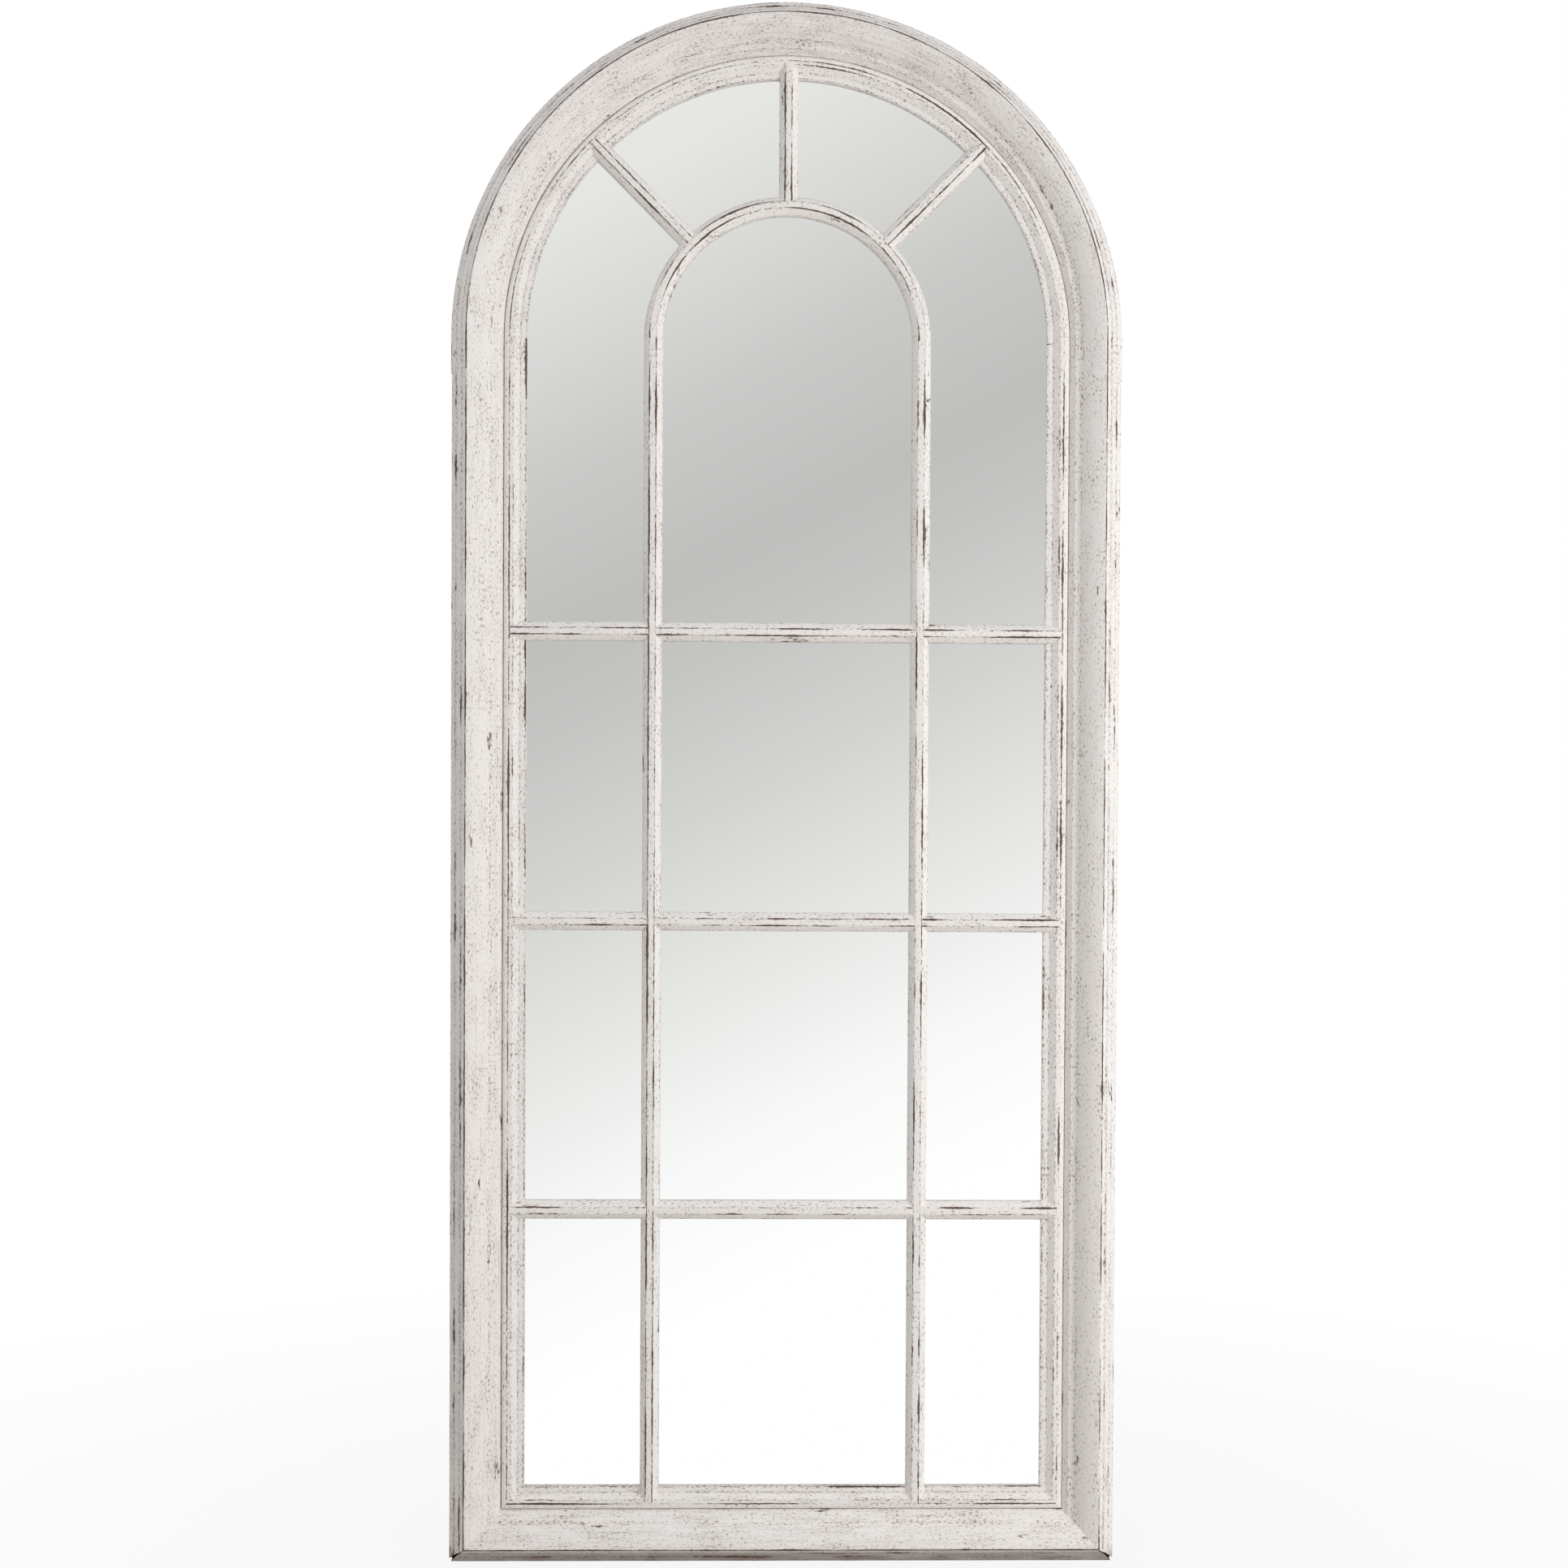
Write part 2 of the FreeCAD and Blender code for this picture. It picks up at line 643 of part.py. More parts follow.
def arched_panel(name, inset, back, thickness):
    """Flat sheet with a round head, its back at the given rise."""
    body = new_body(name)
    sketch = new_sketch(body, name + "_outline", "XZ_Plane")
    arched_outline(sketch, less("arch_radius", inset), inset, "spring_height")
    pad(body, sketch, thickness)
    place(body, Rotation(), y=BACK_Y - size(back),
          y_formula=f"{BACK_Y_FORMULA} - ({formula(back)})")
    return body


finish("mirror_glass", arched_panel("mirror_glass", GLASS_IN, GLASS_BACK, "glass_thickness"))
board_blank = arched_panel("board_blank", BOARD_IN, "board_recess", "board_thickness")
finish("backing_board", cut("backing_board", board_blank, board_tools))

# ---------------------------------------------------------------- hangers

HANGER_X = "arch_radius - hanger_in"
WIRE_HOLE = "ring_wire + ring_play"


def place_on_hinge(body):
    """Put a body whose own X axis is the ring's hinge axis on the right stile."""
    place(body, Rotation(), x=HANGER_X, z="hanger_height", y=BACK_Y + size(KNUCKLE),
          y_formula=f"{BACK_Y_FORMULA} + {formula(KNUCKLE)}")


def hanger_strap():
    """Steel strap with a round foot, its top end rolled round the ring's bar."""
    body = new_body("hanger_right")
    plate = new_sketch(body, "strap_outline", "XZ_Plane")
    arched_outline(plate, "strap_half_width", "", less("strap_half_width", "strap_length"), -1)
    plate.AttachmentOffset = Placement(Vector(0, 0, size(KNUCKLE)), Rotation())
    plate.setExpression("AttachmentOffset.Base.z", formula(KNUCKLE))
    pad(body, plate, "strap_thickness", reverse=True)
    roll = new_sketch(body, "strap_roll", "YZ_Plane")
    circle_at(roll, "", "", KNUCKLE)
    pad(body, roll, "strap_half_width + strap_half_width", symmetric=True)
    bore = new_sketch(body, "strap_roll_bore", "YZ_Plane")
    circle_at(bore, "", "", WIRE_HOLE)
    pocket_through(body, bore)
    holes = new_sketch(body, "strap_screw_holes", "XZ_Plane")
    upper = less("", "strap_screw_drop")
    for drop in (upper, less(upper, "strap_screw_pitch")):
        circle_at(holes, "", drop, "strap_screw_radius + screw_play")
    pocket_through(body, holes)
    place_on_hinge(body)
    return body


def hanger_ring():
    """D-shaped wire ring: a straight bar in the knuckle, two legs and a round bow."""
    body = new_body("ring_right")
    half, corner = "ring_half_width", "ring_corner"
    bar_end = less(half, corner)
    bow = less("", "ring_corner + ring_leg")
    path = new_sketch(body, "ring_path", "XZ_Plane")
    closed_outline(path, (
        (half, less("", corner)),
        (bar_end, "", corner, 1),
        (less("", bar_end), ""),
        (less("", half), less("", corner), corner, 1),
        (less("", half), bow),
        ("", less(bow, half), half, 1),
        (half, bow, half, 1),
    ))
    wire = new_sketch(body, "ring_wire_section", "XY_Plane")
    circle_at(wire, half, "", "ring_wire")
    wire.AttachmentOffset = Placement(Vector(0, 0, -size(corner)), Rotation())
    wire.setExpression("AttachmentOffset.Base.z", formula(less("", corner)))
    sweep = body.newObject("PartDesign::AdditivePipe", "ring_sweep")
    sweep.Profile = wire
    sweep.Spine = (path, [f"Edge{number}" for number in range(1, 8)])
    doc.recompute()
    place_on_hinge(body)
    return body


finish("hanger_right", hanger_strap())
mirrored("hanger_left", nodes["hanger_right"])
finish("ring_right", hanger_ring())
mirrored("ring_left", nodes["ring_right"])

# ---------------------------------------------------------------- wall bumpers


def wall_bumper():
    """Rubber disc that keeps the frame parallel to the wall."""
    body = new_body("bumper_right")
    rim = less("bumper_radius", "bumper_edge")
    sketch = new_sketch(body, "bumper_section", "XY_Plane")
    closed_outline(sketch, (
        ("", ""),
        ("bumper_radius", ""),
        ("bumper_radius", less(BUMPER, "bumper_edge")),
        (rim, BUMPER),
        ("", BUMPER),
    ))
    revolve(body, sketch, 360)
    place(body, Rotation(), x="arch_radius - bumper_in", z="bumper_height")
    return body


finish("bumper_right", wall_bumper())
mirrored("bumper_left", nodes["bumper_right"])

# ---------------------------------------------------------------- checks and export

doc.recompute()
for item in doc.Objects:
    faults = {"Invalid", "Error"} & set(item.State)
    assert not faults, f"{item.Label}: {faults}"
for name, item in nodes.items():
    shape = item.Shape
    assert not shape.isNull() and shape.isValid() and shape.Solids, name
    shape.exportStep(f"parts/{name}.step")
    print(f"{name}: {len(shape.Solids)} solids, {shape.Volume / 1000:.1f} cm3")
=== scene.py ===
"""Arched window mirror: a painted window frame with glazing bars over one sheet of mirror.

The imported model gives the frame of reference. This script carves the painted
wood again with its eased edges, open mitres and rubbed paint, gives the glass
and the fittings on the back their finishes, and sets up the studio.
"""

import logging
import math
from dataclasses import dataclass, field
from enum import Enum
from typing import Protocol

import bmesh
import bpy
from mathutils import Matrix, Vector, noise


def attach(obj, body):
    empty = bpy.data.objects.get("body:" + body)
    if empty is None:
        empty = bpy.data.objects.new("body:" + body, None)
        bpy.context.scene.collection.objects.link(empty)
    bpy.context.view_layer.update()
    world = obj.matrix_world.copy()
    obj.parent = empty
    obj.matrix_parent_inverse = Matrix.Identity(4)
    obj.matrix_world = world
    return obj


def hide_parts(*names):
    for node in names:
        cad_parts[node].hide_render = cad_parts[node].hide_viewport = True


LOG = logging.getLogger("window_mirror")

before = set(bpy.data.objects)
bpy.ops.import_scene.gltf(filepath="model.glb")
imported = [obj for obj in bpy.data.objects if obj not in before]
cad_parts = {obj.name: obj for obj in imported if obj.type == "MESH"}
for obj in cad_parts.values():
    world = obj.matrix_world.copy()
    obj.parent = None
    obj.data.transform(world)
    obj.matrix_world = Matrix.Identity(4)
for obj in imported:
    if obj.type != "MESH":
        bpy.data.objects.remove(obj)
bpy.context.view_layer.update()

MM = 0.001  # the drawing is in millimetres and Blender's scene in metres
BACK_FACE = 16.75  # mm, where the frame's back stands on Y; it rises towards -Y
SPRING = 1280.0  # mm, the height where the arch starts
HALF_WIDTH = 350.0  # mm, half the frame's width and the arch's outer radius
TINY = 1e-6  # m, how near two corners are when they are one
SIDES = ((-1, "left"), (1, "right"))  # which way each lies on X, and its name in a piece

ARC_STEPS = 3  # the fewest in an arc of a section
BEND_STEPS = 8  # the fewest round the bend of a run
PAST_BEND = 5.0  # degrees that a bend goes on past its saw cut
ARRIS_TURN = 34.0  # degrees between two faces, from which their edge is drawn sharp
OUTER_FACE = 2.0  # mm of inset, within which a point lies on a member's outer face
TRUE_BACK = 6.0  # mm from the back over which the wood has stayed true
WAVES = ((22.0, 0.10), (95.0, 0.06))  # the wood's unevenness: waves per metre and half their depth in mm
WRAP = 0.45  # share of the outline, past which a face is one that closes it

FACTOR, FIRST, SECOND, MIXED = 0, 6, 7, 2  # a colour Mix node's inputs and its output


class Slot(Enum):
    """The record's material slots: the fittings take their finishes by them, and each painted member keeps
    its own.
    """

    FRAME = "painted_frame"
    SASH = "painted_sash"
    BARS = "painted_bars"
    MIRROR = "mirror_glass"
    BOARD = "hardboard"
    DOWEL = "beech_dowel"
    SCREW = "zinc_screws"
    HANGER = "zinc_steel"
    RUBBER = "rubber"


class End(Enum):
    """How a length of moulding ends."""

    OPEN_MITRE = 1
    BUTT = 2


# ---------------------------------------------------------------- material tools


def colour(code: str) -> tuple[float, float, float, float]:
    """Turn an sRGB hex colour into the linear colour that the sockets take.

    Args:
        code: six hex digits, with or without a leading hash.

    Returns:
        Red, green, blue and an alpha of 1, in linear light.
    """
    digits = code.lstrip("#")
    parts = [int(digits[place:place + 2], 16) / 255 for place in (0, 2, 4)]
    light = [part / 12.92 if part <= 0.04045 else ((part + 0.055) / 1.055) ** 2.4 for part in parts]
    return light[0], light[1], light[2], 1.0


def node(tree: bpy.types.NodeTree, kind: str, feeds: dict | None = None, **settings) -> bpy.types.Node:
    """Add a node, make its settings, and set or link its inputs.

    Args:
        tree: the node tree that gets the node.
        kind: the node's Blender type.
        feeds: for each input, by name or number, a value or the socket that feeds it.
        **settings: the node's own properties.

    Returns:
        The new node.
    """
    made = tree.nodes.new(kind)
    for name, value in settings.items():
        setattr(made, name, value)
    for socket, value in (feeds or {}).items():
        if isinstance(value, bpy.types.NodeSocket):
            tree.links.new(value, made.inputs[socket])
        else:
            made.inputs[socket].default_value = value
    return made


def ramp(made: bpy.types.Node, stops: list[tuple[float, tuple[float, float, float]]]) -> bpy.types.Node:
    """Give a colour ramp its stops.

    Args:
        made: the ramp node.
        stops: place from 0 to 1 and three channels, in order of place.

    Returns:
        The same node.
    """
    band = made.color_ramp
    while len(band.elements) > 1:
        band.elements.remove(band.elements[-1])
    first = band.elements[0]
    first.position, first.color = stops[0][0], (*stops[0][1], 1.0)
    for place, channels in stops[1:]:
        band.elements.new(place).color = (*channels, 1.0)
    return made


def blank_material(name: str) -> tuple[bpy.types.Material, bpy.types.NodeTree, bpy.types.Node]:
    """Make a node material with an empty tree and its output.

    Args:
        name: the finish's name.

    Returns:
        The material, its node tree and its output node.
    """
    material = bpy.data.materials.new(name)
    material.use_nodes = True
    tree = material.node_tree
    tree.nodes.clear()
    return material, tree, node(tree, "ShaderNodeOutputMaterial")


def upright(pair: tuple[float, float], depth: float = 0.0) -> Vector:
    """Stand a pair on X and Z up as a vector."""
    return Vector((pair[0], depth, pair[1]))


# ---------------------------------------------------------------- sections


@dataclass(frozen=True)
class Corner:
    """A corner of a section, in mm, and the edge that arrives at it.

    arc is the radius of that edge, above 0 for a round, below 0 for a hollow and
    0 for a flat. ease is how far the corner is rubbed round. rub, grime and pit
    say how much bare wood, dark glaze with painted shade, and pitting gather along
    the corner, reach how far they spread each way, and slip how far their middle
    lies past it. Along the crevices and the glass, the dark glaze is mostly painted
    shade.
    """

    inset: float
    rise: float
    arc: float = 0.0
    ease: float = 0.0
    rub: float = 0.0
    grime_and_shade: float = 0.0
    pit: float = 0.3
    reach: float = 2.2
    slip: float = 0.0

    @property
    def spot(self) -> Vector:
        """The corner's place on the flat drawing, in metres."""
        return Vector((self.inset, self.rise, 0)) * MM


@dataclass(frozen=True)
class Section:
    """The closed outline of a moulding, clockwise from its outer back corner."""

    corners: tuple[Corner, ...]
    fine: float = 1.4  # mm between two points of an arc

    def draw(self, bm: bmesh.types.BMesh) -> None:
        """Draw the outline flat, with the inset on X and the rise on Y.

        Args:
            bm: an empty mesh.
        """
        ends = self.corners[1:] + self.corners[:1]
        for start, end in zip(self.corners, ends):
            first = bm.verts.new((start.inset * MM, start.rise * MM, 0))
            if end.arc == 0:
                last = bm.verts.new((end.inset * MM, end.rise * MM, 0))
                bm.edges.new((first, last))
                continue
            centre, angle = self._arc(start, end)
            steps = max(ARC_STEPS, math.ceil(abs(angle * end.arc) / self.fine))
            bmesh.ops.spin(bm, geom=[first], cent=centre * MM, axis=(0, 0, 1), angle=angle, steps=steps)
        bmesh.ops.remove_doubles(bm, verts=bm.verts[:], dist=TINY)
        for corner in self.corners:
            if corner.ease == 0:
                continue
            here = [vert for vert in bm.verts if (vert.co - corner.spot).length < TINY * 2]
            bmesh.ops.bevel(bm, geom=here, offset=corner.ease * MM, offset_type="OFFSET", segments=2,
                            profile=0.5, affect="VERTICES", clamp_overlap=True, material=-1)
        self._mark(bm)

    @staticmethod
    def _arc(start: Corner, end: Corner) -> tuple[Vector, float]:
        """Find the centre and the turn of the arc that arrives at a corner.

        Args:
            start: the corner that the arc leaves.
            end: the corner that it arrives at, with its radius.

        Returns:
            The centre in mm and the signed turn in radians.
        """
        first, last = Vector((start.inset, start.rise, 0)), Vector((end.inset, end.rise, 0))
        chord = last - first
        radius = abs(end.arc)
        side = Vector((-chord.y, chord.x, 0)).normalized()
        depth = math.sqrt(radius ** 2 - (chord.length / 2) ** 2)
        way = -1 if end.arc > 0 else 1  # the outline runs clockwise, so a round's centre is on its right
        centre = (first + last) / 2 + side * depth * way
        return centre, 2 * math.asin(chord.length / 2 / radius) * way

    def _mark(self, bm: bmesh.types.BMesh) -> None:
        """Write each point's distance along the outline in the across layer.

        Args:
            bm: the mesh with the drawn outline.
        """
        layer = bm.verts.layers.float.new("across")
        first, second = self.corners[0].spot, self.corners[1].spot
        seam = min(bm.verts, key=lambda vert: (vert.co - first).length)
        edge = min(seam.link_edges, key=lambda link: (link.other_vert(seam).co - second).length)
        here = seam
        walked = 0.0
        while True:
            here[layer] = walked
            walked += edge.calc_length()
            here = edge.other_vert(here)
            if here == seam:
                break
            edge = next(other for other in here.link_edges if other != edge)

    def stations(self) -> tuple[list[tuple[float, Corner]], float]:
        """Measure where each corner lies along the outline.

        Returns:
            Each corner with its distance from the first, in mm, and the whole length.
        """
        walked, found = 0.0, []
        ends = self.corners[1:] + self.corners[:1]
        for start, end in zip(self.corners, ends):
            found.append((walked, start))
            chord = math.hypot(end.inset - start.inset, end.rise - start.rise)
            walked += chord if end.arc == 0 else abs(self._arc(start, end)[1] * end.arc)
        return found, walked


MOULDING = Section((
    Corner(0, 0, rub=0.3, grime_and_shade=0.2, pit=0.05),
    Corner(0, 16, ease=0.5, rub=0.45, grime_and_shade=0.2, pit=0.8),
    Corner(6, 21, ease=0.5, rub=0.4, grime_and_shade=0.25, pit=0.9),
    Corner(11.5, 29.5, arc=-14, ease=0.4, rub=0.4, grime_and_shade=0.15, pit=1.3, reach=4.5, slip=4.0),
    Corner(19.4, 40, arc=26, ease=0.4, rub=1.15, grime_and_shade=0.25, pit=0.8, reach=1.7, slip=-0.9),
    Corner(43, 24.3, arc=48, ease=0.3, rub=0.1, grime_and_shade=0.06, pit=0.9, reach=3.5),
    Corner(49.5, 20.8, arc=-11, ease=0.5, rub=0.2, grime_and_shade=0.0, pit=0.7, reach=1.6),
    # the crevice where the sash meets the moulding: dark glaze and painted shade
    Corner(54.9, 13.1, rub=0.5, grime_and_shade=1.0, pit=0.5, reach=1.3, slip=-0.1),
    Corner(44.9, 13.1, rub=0.01, pit=0.0),
    Corner(44.9, 0, rub=0.01, pit=0.0),
))
SASH = Section((
    Corner(45.4, 5.56),
    Corner(45.4, 13.1),
    # the sash's side of that crevice: dark glaze and painted shade
    Corner(54.9, 13.1, rub=0.2, grime_and_shade=0.9, pit=0.5, reach=1.1),
    Corner(58.1, 17.5, arc=4.5, rub=0.9, grime_and_shade=0.1, pit=0.8, reach=1.5, slip=2.8),
    Corner(65.1, 17.5, ease=0.5, rub=0.45, grime_and_shade=0.15, pit=1.1, reach=1.6),
    Corner(71.5, 12, ease=0.3, rub=0.15, grime_and_shade=0.3, pit=0.9, reach=1.8),
    Corner(78.5, 12, ease=0.5, rub=0.5, grime_and_shade=0.3, pit=1.3, slip=-0.8),
    # the sight edge down to the glass: painted shade
    Corner(78.5, 8.5, grime_and_shade=0.8),
    Corner(66.5, 8.5),
    Corner(66.5, 5.56),
), fine=1.0)
BAR = Section((
    # the bar's foot at the glass: painted shade
    Corner(-10, 8.5, grime_and_shade=0.8),
    Corner(-10, 12, ease=0.3, rub=0.2, grime_and_shade=0.4, pit=0.6),
    Corner(-4, 18.3, ease=0.45, rub=1.0, grime_and_shade=0.2, pit=0.9, reach=1.7),
    Corner(4, 18.3, ease=0.45, rub=0.95, grime_and_shade=0.2, pit=0.9, reach=1.6, slip=-0.9),
    Corner(10, 12, ease=0.3, rub=0.2, grime_and_shade=0.4, pit=0.6),
    # the other foot at the glass: painted shade
    Corner(10, 8.5, grime_and_shade=0.8),
))


# ---------------------------------------------------------------- finishes


class Finish(Protocol):
    """A finish that makes its own material."""

    def build(self) -> bpy.types.Material:
        """Make the material."""


@dataclass(frozen=True)
class Grain:
    """A noise stretched along a member, by its marks per metre along and across it."""

    along: float
    across: float
    detail: float
    rough: float = 0.5

    def lay(self, tree: bpy.types.NodeTree, spread: bpy.types.NodeSocket) -> bpy.types.NodeSocket:
        """Lay the noise over the member.

        Args:
            tree: the material's node tree.
            spread: the member's UV map.

        Returns:
            The noise, from 0 to 1.
        """
        laid = node(tree, "ShaderNodeMapping", {"Vector": spread, "Scale": (self.along, self.across, 1)})
        return node(tree, "ShaderNodeTexNoise", {
            "Vector": laid.outputs[0], "Scale": 1.0, "Detail": self.detail,
            "Roughness": self.rough}).outputs[0]


@dataclass(frozen=True)
class Mask:
    """Where a layer shows: nowhere that its weighted sum is below low, and at its top above high."""

    start: float
    low: float
    high: float
    top: float = 1.0

    def cut(self, tree: bpy.types.NodeTree,
            terms: list[tuple[bpy.types.NodeSocket, float]]) -> bpy.types.NodeSocket:
        """Add up the terms and turn the sum into a mask.

        Args:
            tree: the material's node tree.
            terms: each a socket and its weight.

        Returns:
            The mask, from 0 to top.
        """
        return node(tree, "ShaderNodeMapRange", {
            "Value": weigh(tree, self.start, terms), "From Min": self.low, "From Max": self.high,
            "To Min": 0.0, "To Max": self.top}).outputs[0]


def weigh(tree: bpy.types.NodeTree, start: float,
          terms: list[tuple[bpy.types.NodeSocket, float]]) -> bpy.types.NodeSocket:
    """Add up weighted values.

    Args:
        tree: the material's node tree.
        start: the number that the sum starts from.
        terms: each a socket and its weight.

    Returns:
        The sum.
    """
    summed: bpy.types.NodeSocket | float = start
    for socket, weight in terms:
        summed = node(tree, "ShaderNodeMath", {0: socket, 1: weight, 2: summed},
                      operation="MULTIPLY_ADD").outputs[0]
    return summed


@dataclass(frozen=True)
class RubbedPaint:
    """Off-white oil paint brushed on brown-stained wood, rubbed back and glazed.

    The eye gets fine brush lines along every member, brown wood broken through
    on the arrises, a grey-brown glaze with painted shade in the quirks and on the
    members that stand away from the light, and small pits.
    The pattern follows the member by its own UV map, in metres along and across.
    """

    name: str
    section: Section
    stride: float  # per metre, how often the wear on an arris comes and goes
    scuff: float = 0.0  # how dark the floor has left the lowest edge
    scuff_low: float = 0.004  # m above the floor, up to where it is darkest
    scuff_high: float = 0.018  # m, where it ends
    open_face: tuple[float, float, float] = (0.0, 0.0, 0.25)  # rub, grime with painted shade, and pit between corners
    paint: str = "#F9F5F2"
    # the glaze, laid thicker as painted shade where the member stands in shade
    glaze: str = "#9C8E85"
    # the darkest line in the quirks: dark glaze and painted shade
    soot_and_shade: str = "#50432F"
    mud: str = "#8F7866"
    wood: str = "#6A4E41"
    deep: str = "#301F19"
    bristle: Grain = Grain(16, 330, 4, 0.7)  # brush lines 60 mm long and 1 to 3 mm wide
    stipple: Grain = Grain(300, 480, 2, 0.6)  # the paint's own tooth, 2 to 3 mm
    drift: Grain = Grain(22, 55, 3)  # patches as broad as the brush
    grit: Grain = Grain(170, 420, 2)  # teeth of bare wood, 2 to 5 mm
    pecks: Grain = Grain(270, 560, 1)  # pits 1 to 2 mm across
    break_width: float = 60.0  # per metre, across the member
    bare_mask: Mask = Mask(start=-2.17, low=0.62, high=0.86, top=0.95)
    pit_mask: Mask = Mask(start=-0.15, low=0.64, high=0.88, top=0.85)
    film_and_shade_mask: Mask = Mask(start=-1.47, low=0.0, high=1.0)
    soot_and_shade_mask: Mask = Mask(start=-0.2, low=0.5, high=0.95, top=0.85)
    dirt_mask: Mask = Mask(start=0.0, low=0.2, high=0.6)
    wood_mask: Mask = Mask(start=0.0, low=0.35, high=0.7)

    def build(self) -> bpy.types.Material:
        """Make the painted material.

        Returns:
            The material.
        """
        material, tree, out = blank_material(self.name)
        spread = node(tree, "ShaderNodeUVMap", uv_map="run").outputs[0]
        # how much the member is rubbed; it also thickens the glaze, partly wear and partly painted shade on
        # the members, feet and crown that stand away from the light
        wear_and_shade = node(tree, "ShaderNodeAttribute", attribute_name="wear_and_shade").outputs["Fac"]
        rub, grime_and_shade, pit = self._zones(tree, spread)
        bristle, stipple, drift, grit, pecks, breaks = (grain.lay(tree, spread) for grain in (
            self.bristle, self.stipple, self.drift, self.grit, self.pecks,
            Grain(self.stride, self.break_width, 3)))

        # bare wood, where the arris is rubbed, in long breaks with gritty ends
        rubbed = node(tree, "ShaderNodeMath", {0: rub, 1: wear_and_shade}, operation="MULTIPLY").outputs[0]
        bare = self.bare_mask.cut(tree, [(rubbed, 1.0), (breaks, 3.2), (grit, 1.2)])
        # pits, closer together along the corners and in patches
        pits = self.pit_mask.cut(tree, [(pit, 0.13), (pecks, 1.0), (drift, 0.35)])
        pits = node(tree, "ShaderNodeMath", {0: pits, 1: self._front(tree)}, operation="MULTIPLY").outputs[0]
        # glaze caught in the brush lines, with painted shade: thicker where the member stands in shade and in
        # the quirks, where it deepens to a soot-dark line
        film_and_shade = self.film_and_shade_mask.cut(tree, [
            (grime_and_shade, 0.8), (bristle, 1.0), (stipple, 0.7), (drift, 0.35), (wear_and_shade, 0.4)])
        soot_and_shade = self.soot_and_shade_mask.cut(tree, [(grime_and_shade, 1.0), (grit, 0.4)])
        # mud along the floor, and the bare wood's own light and dark
        dirt = node(tree, "ShaderNodeMath", {
            0: self.dirt_mask.cut(tree, [(breaks, 1.0)]), 1: self._scuffed(tree)},
            operation="MULTIPLY").outputs[0]
        timber = node(tree, "ShaderNodeMix", {
            FACTOR: self.wood_mask.cut(tree, [(grit, 1.0)]), FIRST: colour(self.deep),
            SECOND: colour(self.wood)}, data_type="RGBA").outputs[MIXED]

        # the layers, from the paint up
        coat: bpy.types.NodeSocket | tuple[float, ...] = colour(self.paint)
        for share, layer in (
                (film_and_shade, colour(self.glaze)), (soot_and_shade, colour(self.soot_and_shade)), (dirt, colour(self.mud)),
                (pits, colour(self.wood)), (bare, timber)):
            coat = node(tree, "ShaderNodeMix", {FACTOR: share, FIRST: coat, SECOND: layer},
                        data_type="RGBA").outputs[MIXED]

        # where the paint is lost, the surface lies lower and is duller
        lost = node(tree, "ShaderNodeMath", {0: bare, 1: pits}, operation="MAXIMUM").outputs[0]
        height = weigh(tree, 0.0, [(bristle, 0.4), (stipple, 0.4), (lost, -1.0)])
        bump = node(tree, "ShaderNodeBump", {"Strength": 0.6, "Distance": 0.0004, "Height": height})
        dull = node(tree, "ShaderNodeMapRange", {
            "Value": lost, "From Min": 0.0, "From Max": 1.0, "To Min": 0.5, "To Max": 0.75})
        shader = node(tree, "ShaderNodeBsdfPrincipled", {
            "Base Color": coat, "Roughness": dull.outputs[0], "Normal": bump.outputs[0],
            "IOR": 1.5, "Specular IOR Level": 0.35})
        tree.links.new(shader.outputs[0], out.inputs[0])
        return material

    def _zones(self, tree: bpy.types.NodeTree, spread: bpy.types.NodeSocket) -> list[bpy.types.NodeSocket]:
        """Lay the wear out across the member.

        Args:
            tree: the material's node tree.
            spread: the member's UV map.

        Returns:
            How much rubbing, dark glaze with painted shade, and pitting there is, each by its place in the
            section.
        """
        stops, total = self._stops()
        across = node(tree, "ShaderNodeSeparateXYZ", {"Vector": spread}).outputs["Y"]
        place = node(tree, "ShaderNodeMath", {0: across, 1: total * MM}, operation="DIVIDE")
        band = ramp(node(tree, "ShaderNodeValToRGB", {0: place.outputs[0]}), stops)
        return list(node(tree, "ShaderNodeSeparateColor", {0: band.outputs[0]}).outputs)

    def _stops(self) -> tuple[list[tuple[float, tuple[float, float, float]]], float]:
        """Lay the wear out along the section, as a ramp's stops.

        Returns:
            The stops, with rub, grime with painted shade, and pit as the channels, and the outline's length
            in mm.
        """
        places, total = self.section.stations()
        stops: list[tuple[float, tuple[float, float, float]]] = []
        for walked, corner in places:
            if corner.rub == 0 and corner.grime_and_shade == 0:
                continue
            peak = (corner.rub, corner.grime_and_shade, corner.pit)
            for shift, channels in (
                    (-corner.reach, self.open_face), (0.0, peak), (corner.reach, self.open_face)):
                at = (walked + corner.slip + shift) / total
                if 0 <= at <= 1 and (not stops or at > stops[-1][0]):
                    stops.append((at, channels))
        return stops, total

    @staticmethod
    def _front(tree: bpy.types.NodeTree) -> bpy.types.NodeSocket:
        """Tell the back from the rest, because it has few pits.

        Args:
            tree: the material's node tree.

        Returns:
            The share of pits: 1, but 0.2 on what looks back.
        """
        normal = node(tree, "ShaderNodeNewGeometry").outputs["Normal"]
        facing = node(tree, "ShaderNodeSeparateXYZ", {"Vector": normal}).outputs["Y"]
        return node(tree, "ShaderNodeMapRange", {
            "Value": facing, "From Min": 0.8, "From Max": 0.95, "To Min": 1.0, "To Max": 0.2}).outputs[0]

